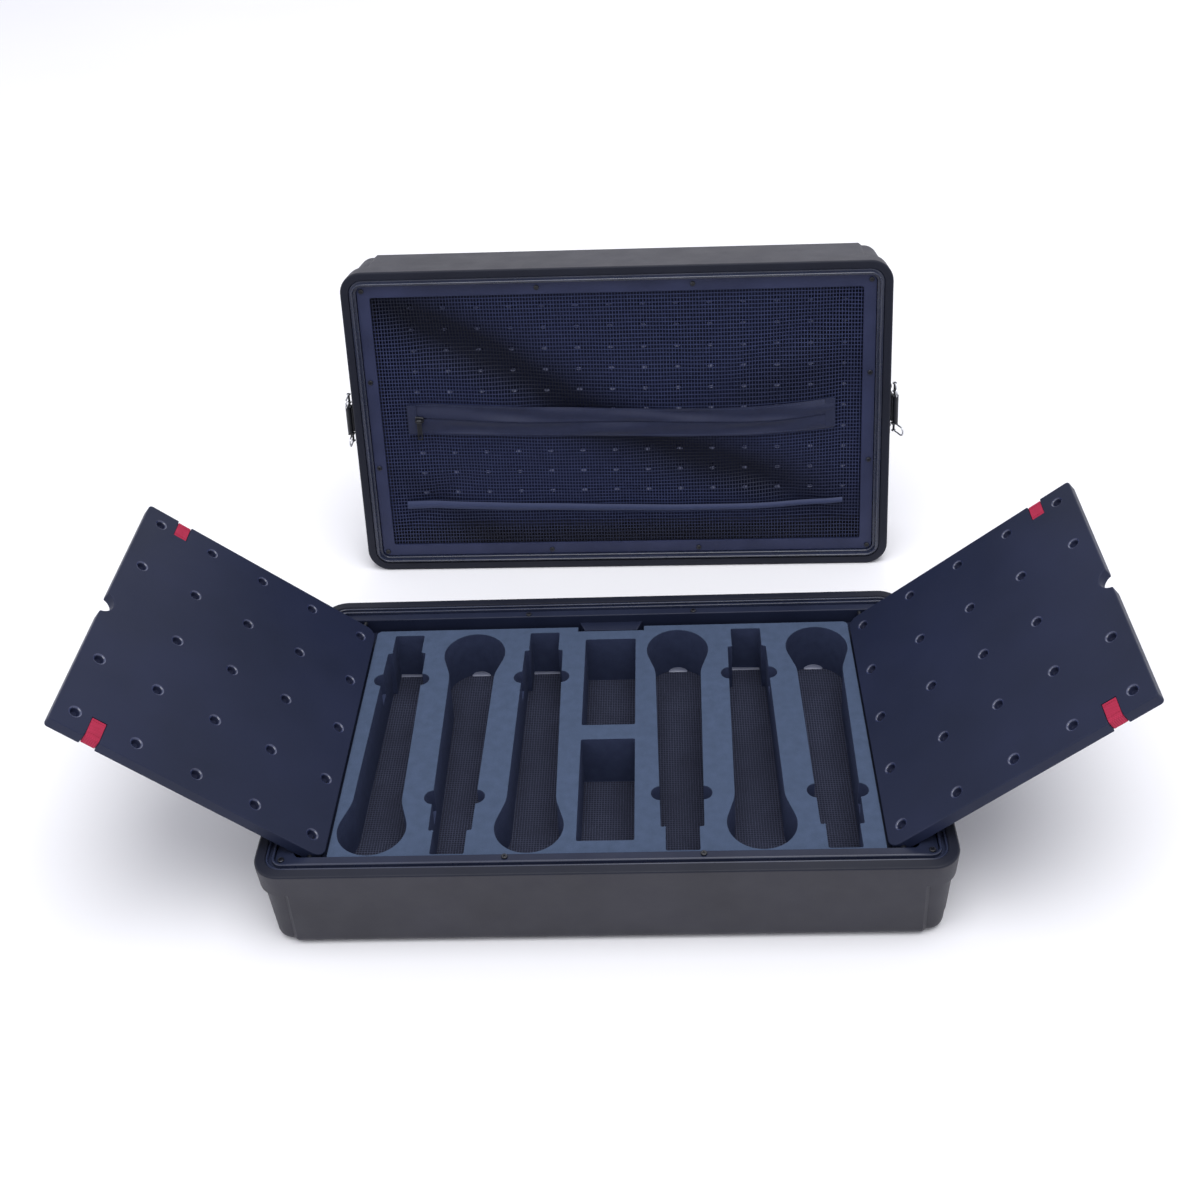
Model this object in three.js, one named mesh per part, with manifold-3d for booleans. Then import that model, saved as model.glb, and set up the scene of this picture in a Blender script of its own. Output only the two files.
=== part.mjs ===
// A two-part transit case for six handheld microphones: a shallow base tray with cut foam and two
// hinged cover panels, and a loose lid with a zipped net pocket and a latch on each end.
// Millimetres, +Z up, the viewer on the -Y side. The base stands on z = 0 and the lid stands behind it
// on one long side, as in the photograph.
import * as THREE from "three";
import { mergeVertices } from "three/addons/utils/BufferGeometryUtils.js";
import Module from "manifold-3d";

const wasm = await Module();
wasm.setup();

// Whole case
const rimWidth = 570;
const rimDepth = 354;
const baseHeight = 84;
const lidDepth = 78;
const draftAngle = 5.3;
const rimCornerRadius = 24;
const fit = 0.3;

// Moulded shells
const shellWall = 4;
const lipWidth = 9;
const lipHeight = 12;
const rimChamfer = 1.5;
const closedEdgeRadius = 10;
const reliefStart = 22;
const reliefDepth = 3;
const reliefRun = 5;

// Tongue and groove rings inside the two rims
const ridgeDrop = 1;
const ridgeWidth = 1.9;
const grooveWidth = 3.2;
const grooveDepth = 3.5;
const tonguePlay = 0.7;
const tongueHeight = 3;
const seatThickness = 2.5;
const seatGap = 0.7;

// Tray liner in the base
const flangeEndWidth = 31.5;
const flangeFrontWidth = 25.5;
const openingRadius = 5;
const flangeDrop = 3.5;
const linerThickness = 2.5;
const restWidth = 62;
const restReach = 12;
const restTaper = 6;
const restHeight = 12;

// Cover panels
const wingEndGap = 6.5;
const wingThickness = 10;
const wingTail = 10.5;
const wingStand = 1.9;
const wingShift = -3.3;
const wingCentreGap = 1.5;
const hingeInset = 12.5;
const rodRadius = 1.8;
const rodEndGap = 0.5;
const hingeCornerRadius = 10;
const freeCornerRadius = 3;
const notchRadius = 11.7;
const notchDepth = 9.5;
const dimpleRows = 5;
const dimpleColumns = 5;
const dimpleHingeEdge = 14.7;
const dimpleFreeEdge = 17.25;
const dimpleSideEdge = 18;
const dimpleRadius = 4.6;
const dimpleFloorRadius = 2.6;
const dimpleDepth = 4;
const tabWidth = 12.5;
const tabLength = 21;
const tabThickness = 1.2;
const tabFromFreeEdge = 38;
const tabNotchDepth = 2.5;

// Foam
const foamThickness = 50;
const foamDrop = 0.5;
const foamSideGap = 0.4;
const foamEndGap = 4;
const foamShift = -2.5;
const slotSideWall = 3.97;
const slotEndWall = 7.5;
const slotHeadRadius = 29;
const slotTailWidth = 28;
const slotTailLength = 26;
const slotTailEndWidth = 36;
const slotNeckWidth = 42;
const slotNeckFromHead = 30;
const fingerRadius = 8;
const fingerFromTail = 64;
const fingerDepth = 24;
const pocketWidth = 48;
const pocketGap = 18.5;
const pocketEndWall = 19.25;
const pocketSideWall = 11;

// Lid
const lidGapBehindBase = 160;
const lidOffsetX = 10;
const lidYaw = -0.9;
const frameWidth = 13.4;
const frameThickness = 2;
const netThickness = 1.2;
const netClampWidth = 5;
const netStrand = 3;
const netColumns = 18;
const netRows = 6;
const bandCentre = 7;
const tapeWidth = 15;
const coilWidth = 5;
const coilThickness = 2;
const tapeThickness = 1.2;
const tapeOverlap = 6;
const bandEndGap = 29;
const hemFromFrame = 43;
const hemWidth = 8;
const hemEndGap = 19;
const linerPanelThickness = 8;
const linerPanelGap = 3;
const linerDimpleColumns = 9;
const linerDimpleRows = 5;

// Zip slider and pull
const sliderLength = 9;
const sliderWidth = 8;
const sliderThickness = 3.2;
const sliderFromEnd = 12;
const pullLength = 22;
const pullWidth = 5;
const pullThickness = 1.6;
const pullPinRadius = 1;
const pullEyeWall = 1;
const pullWindowWall = 1.2;
const pullWindowEnd = 1.5;
const pullWindowLength = 5;
const earThickness = 1.2;

// Latches
const latchCentre = 6.5;
const plateHeight = 58;
const plateDepth = 44;
const plateThickness = 2.5;
const plateFromRim = 2;
const leverThickness = 3;
const leverPinRadius = 1.6;
const leverPinFromRim = 5.5;
const leverEyeWall = 1.4;
const leverEndFromRim = 42;
const earWidth = 2;
const linkPinFromLeverPin = 6;
const linkPinRadius = 1.2;
const linkEyeWall = 1;
const linkWire = 1.8;
const linkOuterWidth = 11;
const linkEarGap = 0.1;
const restingLinkAngle = -6;
const liftedLinkAngle = 20;
const keeperDepth = 20;
const keeperLipFromRim = 3;
const keeperLipThickness = 2;
const keeperHookDrop = 5;
const keeperHookThickness = 1.5;

// Screws
const screwInset = 22;
const screwLongSpacing = 80.5;
const screwShortSpacing = 51;
const screwHeadRadius = 2.7;
const screwHeadHeight = 1.1;
const screwShankRadius = 1.4;
const screwTip = 1;

const radians = Math.PI / 180;
const draft = Math.tan(draftAngle * radians);

// Places worked out from the sizes above
const ringOuter = lipWidth + fit;
const ringInner = ringOuter + 2 * ridgeWidth + grooveWidth;
const flangeTop = baseHeight - flangeDrop;
const openingWidth = rimWidth - 2 * flangeEndWidth;
const openingDepth = rimDepth - 2 * flangeFrontWidth;
const wingFoamSide = flangeTop + wingStand - wingThickness;
const hingeHeight = wingFoamSide + wingThickness / 2;
const hingeX = openingWidth / 2 - hingeInset;
const wingLength = hingeX + wingTail - wingCentreGap / 2;
const wingDepth = openingDepth - 2 * wingEndGap;
const dimplePitchAlong = (wingLength - dimpleHingeEdge - dimpleFreeEdge) / (dimpleColumns - 1);
const dimplePitchAcross = (wingDepth - 2 * dimpleSideEdge) / (dimpleRows - 1);
const wingSweep = Math.hypot(wingTail, wingThickness / 2);
const stopReach = Math.hypot(hingeInset, flangeTop - hingeHeight);
const openAngle =
  Math.atan2(flangeTop - hingeHeight, hingeInset) +
  Math.asin((wingThickness / 2 + fit) / stopReach);
const foamTop = wingFoamSide - foamDrop;
const foamBottom = foamTop - foamThickness;
const foamHalfWidth = hingeX - wingSweep - foamSideGap;
const foamHalfDepth = openingDepth / 2 - foamEndGap;
const slotLength = 2 * (foamHalfDepth - slotEndWall);
const innerSlotX = pocketWidth / 2 + pocketSideWall + slotHeadRadius;
const outerSlotX = foamHalfWidth - slotSideWall - slotHeadRadius;
const slotPitch = (outerSlotX - innerSlotX) / 2;
const pocketLength = foamHalfDepth - pocketEndWall - pocketGap / 2;
const linerFloor = shellWall + fit + linerThickness;
const shelfTop = hingeHeight - wingSweep - 2 * fit;
const frameInner = ringInner + fit + frameWidth;
const frameBottom = -flangeDrop - frameThickness;
const bandHalfLength = rimWidth / 2 - frameInner - bandEndGap;
const hemHalfLength = rimWidth / 2 - frameInner - hemEndGap;
const hemCentre = frameInner + hemFromFrame - rimDepth / 2;
const netTop = frameBottom - fit;
const netBottom = netTop - netThickness;
const pinX = fit + plateThickness + fit + leverPinRadius + leverEyeWall;
const pinZ = -leverPinFromRim;
const linkZ = pinZ - linkPinFromLeverPin;
const leverWidth = plateHeight - 2 * (3 * fit + linkOuterWidth + linkEarGap + earWidth);
const earGap = leverWidth / 2 + fit;

const plastic = paint(0x2a2b31, 0.55, 0);
const ringPlastic = paint(0x22252e, 0.4, 0);
const linerPlastic = paint(0x262a35, 0.45, 0);
const wingPlastic = paint(0x2b3144, 0.42, 0);
const foamGrey = paint(0x4a566b, 0.95, 0);
const padGrey = paint(0x1b1e26, 0.9, 0);
const webbingRed = paint(0xb8324c, 0.8, 0);
const netBlack = paint(0x1c202b, 0.8, 0);
const tapeBlack = paint(0x262c3f, 0.8, 0);
const blackSteel = paint(0x2b2b2e, 0.45, 0.6);
const chrome = paint(0xc9cacc, 0.25, 1);

function paint(color, roughness, metalness) {
  return new THREE.MeshStandardMaterial({ color, roughness, metalness });
}

// Closed solids from three.js geometry, and back again
function solidFrom(geometry) {
  const loose = geometry.index ? geometry.toNonIndexed() : geometry;
  const bare = new THREE.BufferGeometry();
  bare.setAttribute("position", loose.getAttribute("position"));
  const merged = mergeVertices(bare, 1e-4);
  const vertProperties = merged.attributes.position.array;
  const triVerts = new Uint32Array(merged.index.array);
  return new wasm.Manifold(new wasm.Mesh({ numProp: 3, vertProperties, triVerts }));
}

function geometryFrom(solid) {
  const mesh = solid.getMesh();
  const stride = mesh.numProp;
  const positions = new Float32Array(mesh.numVert * 3);
  for (let i = 0; i < mesh.numVert; i++) {
    positions.set(mesh.vertProperties.subarray(i * stride, i * stride + 3), i * 3);
  }
  const geometry = new THREE.BufferGeometry();
  geometry.setAttribute("position", new THREE.BufferAttribute(positions, 3));
  geometry.setIndex(new THREE.BufferAttribute(mesh.triVerts, 1));
  geometry.computeVertexNormals();
  return geometry;
}

function joinAll(solids) {
  return wasm.Manifold.union(solids);
}

function cutAll(solid, tools) {
  return solid.subtract(wasm.Manifold.union(tools));
}

function addPiece(parent, name, solid, material) {
  const mesh = new THREE.Mesh(geometryFrom(solid), material);
  mesh.name = name;
  parent.add(mesh);
  return mesh;
}

// Simple solids
function box([x0, x1], [y0, y1], [z0, z1]) {
  const geometry = new THREE.BoxGeometry(x1 - x0, y1 - y0, z1 - z0);
  geometry.translate((x0 + x1) / 2, (y0 + y1) / 2, (z0 + z1) / 2);
  return solidFrom(geometry);
}

function extruded(shape, bottom, top, curveSegments) {
  const settings = { depth: top - bottom, bevelEnabled: false, curveSegments };
  return new THREE.ExtrudeGeometry(shape, settings).translate(0, 0, bottom);
}

function prism(shape, bottom, top, curveSegments = 3) {
  return solidFrom(extruded(shape, bottom, top, curveSegments));
}

function uprightCone(x, y, bottom, top, bottomRadius, topRadius, segments) {
  const geometry = new THREE.CylinderGeometry(topRadius, bottomRadius, top - bottom, segments);
  geometry.rotateX(Math.PI / 2).translate(x, y, (top + bottom) / 2);
  return solidFrom(geometry);
}

function rodAlongY(x, z, y0, y1, radius, segments = 12) {
  const geometry = new THREE.CylinderGeometry(radius, radius, y1 - y0, segments);
  return solidFrom(geometry.translate(x, (y0 + y1) / 2, z));
}

function rodAlongX(y, z, x0, x1, radius, segments = 10) {
  const geometry = new THREE.CylinderGeometry(radius, radius, x1 - x0, segments);
  return solidFrom(geometry.rotateZ(Math.PI / 2).translate((x0 + x1) / 2, y, z));
}

function roundedRectangle(halfX, halfY, radius) {
  const shape = new THREE.Shape();
  shape.absarc(halfX - radius, halfY - radius, radius, 0, Math.PI / 2);
  shape.absarc(radius - halfX, halfY - radius, radius, Math.PI / 2, Math.PI);
  shape.absarc(radius - halfX, radius - halfY, radius, Math.PI, 1.5 * Math.PI);
  shape.absarc(halfX - radius, radius - halfY, radius, 1.5 * Math.PI, 2 * Math.PI);
  shape.closePath();
  return shape;
}

// A closed skin over a stack of rings that have the same number of points
function loft(rings) {
  const count = rings[0].length;
  const positions = rings.flat().flatMap((point) => [point.x, point.y, point.z]);
  const index = [];
  for (let ring = 0; ring + 1 < rings.length; ring++) {
    for (let i = 0; i < count; i++) {
      const a = ring * count + i;
      const b = ring * count + ((i + 1) % count);
      index.push(a, b, b + count, a, b + count, a + count);
    }
  }
  const outline = rings[0].map((point) => new THREE.Vector2(point.x, point.y));
  const lastStart = (rings.length - 1) * count;
  for (const [a, b, c] of THREE.ShapeUtils.triangulateShape(outline, [])) {
    index.push(c, b, a);
    index.push(lastStart + a, lastStart + b, lastStart + c);
  }
  const geometry = new THREE.BufferGeometry();
  geometry.setAttribute("position", new THREE.Float32BufferAttribute(positions, 3));
  geometry.setIndex(index);
  return solidFrom(geometry);
}

// One level of a shell's outline: the rim's rounded rectangle, drawn in by inset, with the corners
// set back by relief
function shellRing(z, inset, relief) {
  const arcSteps = 4;
  const centreX = rimWidth / 2 - rimCornerRadius;
  const centreY = rimDepth / 2 - rimCornerRadius;
  const radius = Math.max(0.5, rimCornerRadius - inset - relief);
  const wallX = rimWidth / 2 - inset;
  const wallY = rimDepth / 2 - inset;
  const corner = [
    [wallX, centreY - reliefRun],
    [wallX - relief, centreY - reliefRun + reliefDepth],
  ];
  for (let i = 0; i <= arcSteps; i++) {
    const angle = ((i / arcSteps) * Math.PI) / 2;
    corner.push([centreX + radius * Math.cos(angle), centreY + radius * Math.sin(angle)]);
  }
  corner.push([centreX - reliefRun + reliefDepth, wallY - relief]);
  corner.push([centreX - reliefRun, wallY]);
  const back = [...corner].reverse();
  const points = [
    ...corner,
    ...back.map(([x, y]) => [-x, y]),
    ...corner.map(([x, y]) => [-x, -y]),
    ...back.map(([x, y]) => [x, -y]),
  ];
  return points.map(([x, y]) => new THREE.Vector3(x, y, z));
}

// A tub with its rim at z = 0 and its closed face at z = -depth
function shell(depth) {
  const roundSteps = 3;
  const angle = draftAngle * radians;
  const roundStart = depth - closedEdgeRadius * (1 - Math.sin(angle));
  const roundCentre = roundStart * draft + closedEdgeRadius * Math.cos(angle);
  const outside = [
    shellRing(0, rimChamfer, 0),
    shellRing(-rimChamfer, rimChamfer * draft, 0),
    shellRing(-reliefStart, reliefStart * draft, 0),
    shellRing(-reliefStart - reliefDepth, (reliefStart + reliefDepth) * draft, reliefDepth),
  ];
  for (let i = 0; i <= roundSteps; i++) {
    const turn = angle + ((Math.PI / 2 - angle) * i) / roundSteps;
    const inset = roundCentre - closedEdgeRadius * Math.cos(turn);
    outside.push(shellRing(closedEdgeRadius * (1 - Math.sin(turn)) - depth, inset, reliefDepth));
  }
  const floorDepth = depth - shellWall;
  const innerRound = closedEdgeRadius - shellWall;
  const inside = [
    shellRing(-lipHeight, lipHeight * draft + shellWall, 0),
    shellRing(-reliefStart, reliefStart * draft + shellWall, 0),
    shellRing(-reliefStart - reliefDepth, (reliefStart + reliefDepth) * draft + shellWall, reliefDepth),
    shellRing(innerRound - floorDepth, floorDepth * draft + shellWall, reliefDepth),
    shellRing(-floorDepth, floorDepth * draft + shellWall + innerRound, reliefDepth),
  ];
  const mouth = prism(insetRectangle(lipWidth), -lipHeight - 1, 1);
  return cutAll(loft(outside.reverse()), [loft(inside.reverse()), mouth]);
}

// The rim's outline drawn in by inset
function insetRectangle(inset) {
  const radius = Math.max(1, rimCornerRadius - inset);
  return roundedRectangle(rimWidth / 2 - inset, rimDepth / 2 - inset, radius);
}

// A flat ring between two insets from the rim
function insetRing(outer, inner, bottom, top) {
  return prism(insetRectangle(outer), bottom, top).subtract(
    prism(insetRectangle(inner), bottom - 1, top + 1),
  );
}

// The ring inside a rim: a web against the shell's lip, and an inner seat for what is screwed down
function rimRing(seatTop, seatInner, tongue) {
  const web = insetRing(ringOuter, ringInner, -lipHeight, -ridgeDrop);
  const seat = insetRing(ringInner - ridgeWidth, seatInner, seatTop - seatThickness, seatTop);
  const ring = web.add(seat);
  const grooveOuter = ringOuter + ridgeWidth;
  const grooveInner = grooveOuter + grooveWidth;
  if (tongue) {
    return ring.add(
      insetRing(grooveOuter + tonguePlay, grooveInner - tonguePlay, -ridgeDrop - 1, tongueHeight),
    );
  }
  return ring.subtract(insetRing(grooveOuter, grooveInner, -ridgeDrop - grooveDepth, 1));
}

// Screws on the flange of the base and on the net frame of the lid, at the same twelve places
function screwPlaces() {
  const x = rimWidth / 2 - screwInset;
  const y = rimDepth / 2 - screwInset;
  const places = [];
  for (const sideX of [-1, 1]) {
    for (const sideY of [-1, 1]) {
      places.push([sideX * x, sideY * y]);
      places.push([sideX * screwLongSpacing, sideY * y]);
      places.push([sideX * x, sideY * screwShortSpacing]);
    }
  }
  return places;
}

function screwHoles(bottom, top) {
  const radius = screwShankRadius + fit;
  return screwPlaces().map(([x, y]) => uprightCone(x, y, bottom, top, radius, radius, 6));
}

function addScrews(parent, prefix, seatHeight, grip) {
  screwPlaces().forEach(([x, y], i) => {
    const head = uprightCone(
      x,
      y,
      seatHeight + fit,
      seatHeight + fit + screwHeadHeight,
      screwHeadRadius,
      screwHeadRadius * 0.7,
      8,
    );
    const shankEnd = seatHeight - grip - screwTip;
    const shank = uprightCone(x, y, shankEnd, seatHeight + fit + 0.1, screwShankRadius, screwShankRadius, 6);
    addPiece(parent, `${prefix}_${i + 1}`, head.add(shank), blackSteel);
  });
}

// Base
function trayLiner() {
  const upperX = openingWidth / 2;
  const lowerX = foamHalfWidth + foamSideGap;
  const halfY = openingDepth / 2;
  const outerRadius = openingRadius + linerThickness;
  const wall = linerThickness;
  const flange = prism(insetRectangle(ringInner + fit), flangeTop - wall, flangeTop);
  const upperTub = prism(
    roundedRectangle(upperX + wall, halfY + wall, outerRadius),
    shelfTop - wall,
    flangeTop,
  );
  const lowerTub = prism(
    roundedRectangle(lowerX + wall, halfY + wall, outerRadius),
    linerFloor - wall,
    flangeTop,
  );
  const upperCavity = prism(roundedRectangle(upperX, halfY, openingRadius), shelfTop, flangeTop + 1);
  const lowerCavity = prism(roundedRectangle(lowerX, halfY, openingRadius), linerFloor, flangeTop + 1);
  const hollow = cutAll(joinAll([flange, upperTub, lowerTub]), [upperCavity, lowerCavity]);
  const sockets = [-1, 1].map((side) =>
    rodAlongY(side * hingeX, hingeHeight, -halfY - wall - 1, halfY + wall + 1, rodRadius + fit),
  );
  const holes = screwHoles(flangeTop - wall - 1, flangeTop + 1);
  return cutAll(joinAll([hollow, wingRest(0)]), [...sockets, ...holes]);
}

// The trapezoid at the back that carries the meeting edges of the closed covers, grown by clearance for
// the foam's cut-out
function wingRest(clearance) {
  const wallY = openingDepth / 2 + linerThickness / 2;
  const frontY = openingDepth / 2 - restReach - clearance;
  const halfWall = restWidth / 2 + clearance;
  const halfFront = halfWall - restTaper;
  const shape = new THREE.Shape();
  shape.moveTo(-halfWall, wallY);
  shape.lineTo(halfWall, wallY);
  shape.lineTo(halfFront, frontY);
  shape.lineTo(-halfFront, frontY);
  shape.closePath();
  const top = wingFoamSide - fit;
  return prism(shape, top - restHeight - clearance, top + clearance);
}

// One microphone slot: narrow tail end, shaft widening to the neck, and a round head end that the neck's
// sides run into without a corner
function slotOutline() {
  const half = slotLength / 2;
  const headCentre = -half + slotHeadRadius;
  const neckY = headCentre + slotNeckFromHead;
  const tailStep = half - slotTailLength;
  const tailHalf = slotTailWidth / 2;
  const stepHalf = slotTailEndWidth / 2;
  const neckHalf = slotNeckWidth / 2;
  const shape = new THREE.Shape();
  const neckAngle = Math.atan2(slotNeckFromHead, neckHalf);
  const joinAngle = neckAngle - Math.acos(slotHeadRadius / Math.hypot(slotNeckFromHead, neckHalf));
  const joinX = slotHeadRadius * Math.cos(joinAngle);
  const joinY = headCentre + slotHeadRadius * Math.sin(joinAngle);
  shape.moveTo(tailHalf, half);
  shape.lineTo(-tailHalf, half);
  shape.lineTo(-tailHalf, tailStep);
  shape.lineTo(-stepHalf, tailStep);
  shape.lineTo(-neckHalf, neckY);
  shape.lineTo(-joinX, joinY);
  shape.absarc(0, headCentre, slotHeadRadius, Math.PI - joinAngle, 2 * Math.PI + joinAngle);
  shape.lineTo(neckHalf, neckY);
  shape.lineTo(stepHalf, tailStep);
  shape.lineTo(tailHalf, tailStep);
  shape.closePath();
  return shape;
}

// Slot centres, and which way each head points: -1 is towards the viewer
function slotPlaces() {
  const columns = [-3, -2, -1, 1, 2, 3];
  const heads = [-1, 1, -1, 1, -1, 1];
  return columns.map((column, i) => ({
    x: Math.sign(column) * (innerSlotX + (Math.abs(column) - 1) * slotPitch),
    head: heads[i],
  }));
}

function slotCut({ x, head }) {
  const outline = extruded(slotOutline(), foamBottom - 1, foamTop + 1, 7);
  outline.rotateZ(head < 0 ? 0 : Math.PI).translate(x, foamShift, 0);
  const through = solidFrom(outline);
  const fingerY = foamShift - head * (slotLength / 2 - fingerFromTail);
  const fingerBottom = foamTop - fingerDepth;
  const fingers = [-1, 1].map((side) => {
    const fingerX = x + (side * slotTailEndWidth) / 2;
    return uprightCone(fingerX, fingerY, fingerBottom, foamTop + 1, fingerRadius, fingerRadius, 14);
  });
  return joinAll([through, ...fingers]);
}

function pocketCut(side) {
  const near = pocketGap / 2;
  const reach = near + pocketLength;
  const span = side < 0 ? [-reach, -near] : [near, reach];
  const along = span.map((y) => y + foamShift);
  return box([-pocketWidth / 2, pocketWidth / 2], along, [foamBottom - 1, foamTop + 1]);
}

function foamInsert() {
  const block = foamBlock(foamBottom, foamTop);
  const slots = slotPlaces().map(slotCut);
  const pockets = [-1, 1].map(pocketCut);
  return cutAll(block, [...slots, ...pockets, wingRest(1)]);
}

function foamBasePad() {
  return foamBlock(linerFloor + fit, foamBottom - fit);
}

function foamBlock(bottom, top) {
  const outline = roundedRectangle(foamHalfWidth, foamHalfDepth, openingRadius);
  return solidFrom(extruded(outline, bottom, top, 3).translate(0, foamShift, 0));
}

// The latch parts stand on a flat end wall: x points out of the wall, y along the rim and z towards the
// rim, whose edge is at z = 0
function keeper() {
  const halfHeight = plateHeight / 2;
  const face = fit + plateThickness;
  const hookInner = pinX + linkWire / 2 + 2 * fit;
  const hookOuter = hookInner + keeperHookThickness;
  const lipBack = -keeperLipFromRim - keeperLipThickness;
  const along = [-halfHeight, halfHeight];
  const plate = box([fit, face], along, [-plateFromRim - keeperDepth, -plateFromRim]);
  const lip = box([face - 1, hookOuter], along, [lipBack, -keeperLipFromRim]);
  const hook = box([hookInner, hookOuter], along, [lipBack - keeperHookDrop, lipBack + 1]);
  return joinAll([plate, lip, hook]);
}

function endWallFrame(parent, side, y, rimHeight) {
  const mirror = new THREE.Group();
  mirror.scale.x = side;
  const frame = new THREE.Group();
  frame.position.set(rimWidth / 2, y, rimHeight);
  frame.rotation.y = draftAngle * radians;
  mirror.add(frame);
  parent.add(mirror);
  return frame;
}

function buildBase(parent) {
  const seatTop = -flangeDrop - linerThickness - fit;
  const seatInner = flangeFrontWidth - linerThickness - seatGap;
  const rim = new THREE.Group();
  rim.position.z = baseHeight;
  parent.add(rim);
  addPiece(rim, "base_shell", shell(baseHeight), plastic);
  const ring = rimRing(seatTop, seatInner, false);
  const ringHoles = screwHoles(seatTop - seatThickness - 1, seatTop + 1);
  addPiece(rim, "base_groove_ring", cutAll(ring, ringHoles), ringPlastic);
  addPiece(parent, "tray_liner", trayLiner(), linerPlastic);
  addPiece(parent, "foam_insert", foamInsert(), foamGrey);
  addPiece(parent, "foam_base_pad", foamBasePad(), padGrey);
  addScrews(parent, "flange_screw", flangeTop, linerThickness);
  const rodEnd = openingDepth / 2 + linerThickness - rodEndGap;
  for (const [name, side] of sides()) {
    const rod = rodAlongY(side * hingeX, hingeHeight, -rodEnd, rodEnd, rodRadius);
    addPiece(parent, `hinge_rod_${name}`, rod, blackSteel);
    const frame = endWallFrame(parent, side, -latchCentre, baseHeight);
    addPiece(frame, `keeper_${name}`, keeper(), blackSteel);
  }
}

function sides() {
  return [
    ["left", -1],
    ["right", 1],
  ];
}

// Cover panels, drawn in the frame of the hinge rod: x runs to the free edge, and the foam side is up
function wingOutline() {
  const back = -wingTail;
  const free = wingLength - wingTail;
  const half = wingDepth / 2;
  const tabX = free - tabFromFreeEdge;
  const tabHalf = tabWidth / 2 + 0.5;
  const notchCentre = free - notchDepth + notchRadius;
  const notchAngle = Math.acos((notchCentre - free) / notchRadius);
  const shape = new THREE.Shape();
  shape.absarc(free - freeCornerRadius, half - freeCornerRadius, freeCornerRadius, 0, Math.PI / 2);
  shape.lineTo(tabX + tabHalf, half);
  shape.lineTo(tabX + tabHalf, half - tabNotchDepth);
  shape.lineTo(tabX - tabHalf, half - tabNotchDepth);
  shape.lineTo(tabX - tabHalf, half);
  const round = hingeCornerRadius;
  shape.absarc(back + round, half - round, round, Math.PI / 2, Math.PI);
  shape.absarc(back + round, round - half, round, Math.PI, 1.5 * Math.PI);
  shape.lineTo(tabX - tabHalf, -half);
  shape.lineTo(tabX - tabHalf, tabNotchDepth - half);
  shape.lineTo(tabX + tabHalf, tabNotchDepth - half);
  shape.lineTo(tabX + tabHalf, -half);
  shape.absarc(free - freeCornerRadius, freeCornerRadius - half, freeCornerRadius, -Math.PI / 2, 0);
  shape.absarc(notchCentre, 0, notchRadius, Math.PI + notchAngle, Math.PI - notchAngle, true);
  shape.closePath();
  return shape;
}

function wingPanel() {
  const half = wingThickness / 2;
  const free = wingLength - wingTail;
  const panel = prism(wingOutline(), -half, half);
  const tools = [rodAlongY(0, 0, -wingDepth, wingDepth, rodRadius + fit)];
  for (let column = 0; column < dimpleColumns; column++) {
    for (let row = 0; row < dimpleRows; row++) {
      const middle = row === (dimpleRows - 1) / 2;
      if (middle && column === dimpleColumns - 1) continue;
      const x = dimpleHingeEdge - wingTail + column * dimplePitchAlong;
      const y = (row - (dimpleRows - 1) / 2) * dimplePitchAcross;
      tools.push(
        uprightCone(x, y, half - dimpleDepth, half + 0.1, dimpleFloorRadius, dimpleRadius, 8),
      );
    }
  }
  const tabX = free - tabFromFreeEdge;
  const pocketHalf = tabWidth / 2 + 0.5;
  const pocketDepth = tabThickness + 2 * fit;
  for (const side of [-1, 1]) {
    const inner = side * (wingDepth / 2 - tabLength - 0.5);
    const span = [inner, (side * (wingDepth + 2)) / 2].sort((a, b) => a - b);
    const across = [tabX - pocketHalf, tabX + pocketHalf];
    tools.push(box(across, span, [half - pocketDepth, half + 1]));
    tools.push(box(across, span, [-half - 1, pocketDepth - half]));
  }
  return cutAll(panel, tools);
}

// A webbing tab folded round the panel's edge
function wingTab(side) {
  const half = wingThickness / 2;
  const tabX = wingLength - wingTail - tabFromFreeEdge;
  const across = [tabX - tabWidth / 2, tabX + tabWidth / 2];
  const edge = side * (wingDepth / 2 - tabNotchDepth + fit);
  const outside = edge + side * tabThickness;
  const inner = side * (wingDepth / 2 - tabLength);
  const low = half - 2 * fit - tabThickness + fit;
  const along = (a, b) => (a < b ? [a, b] : [b, a]);
  return joinAll([
    box(across, along(inner, outside), [low, low + tabThickness]),
    box(across, along(edge, outside), [-low, low]),
    box(across, along(inner, outside), [-low - tabThickness, -low]),
  ]);
}

function buildWing(parent, name, side) {
  const mirror = new THREE.Group();
  mirror.scale.x = side;
  const hinge = new THREE.Group();
  hinge.position.set(hingeX, wingShift, hingeHeight);
  hinge.rotation.y = -openAngle;
  mirror.add(hinge);
  parent.add(mirror);
  addPiece(hinge, `wing_${name}`, wingPanel(), wingPlastic);
  addPiece(hinge, `wing_tab_back_${name}`, wingTab(1), webbingRed);
  addPiece(hinge, `wing_tab_front_${name}`, wingTab(-1), webbingRed);
}

// Lid, drawn with its rim at z = 0 facing up
function net(bottomY, topY) {
  const halfX = rimWidth / 2 - frameInner + netClampWidth;
  const columnPitch = (2 * halfX - netStrand) / netColumns;
  const rowPitch = (topY - bottomY - netStrand) / netRows;
  const gaps = [];
  for (let column = 0; column < netColumns; column++) {
    for (let row = 0; row < netRows; row++) {
      const x = -halfX + netStrand + column * columnPitch;
      const y = bottomY + netStrand + row * rowPitch;
      gaps.push(
        box(
          [x, x + columnPitch - netStrand],
          [y, y + rowPitch - netStrand],
          [netBottom - 1, netTop + 1],
        ),
      );
    }
  }
  return cutAll(box([-halfX, halfX], [bottomY, topY], [netBottom, netTop]), gaps);
}

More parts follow.
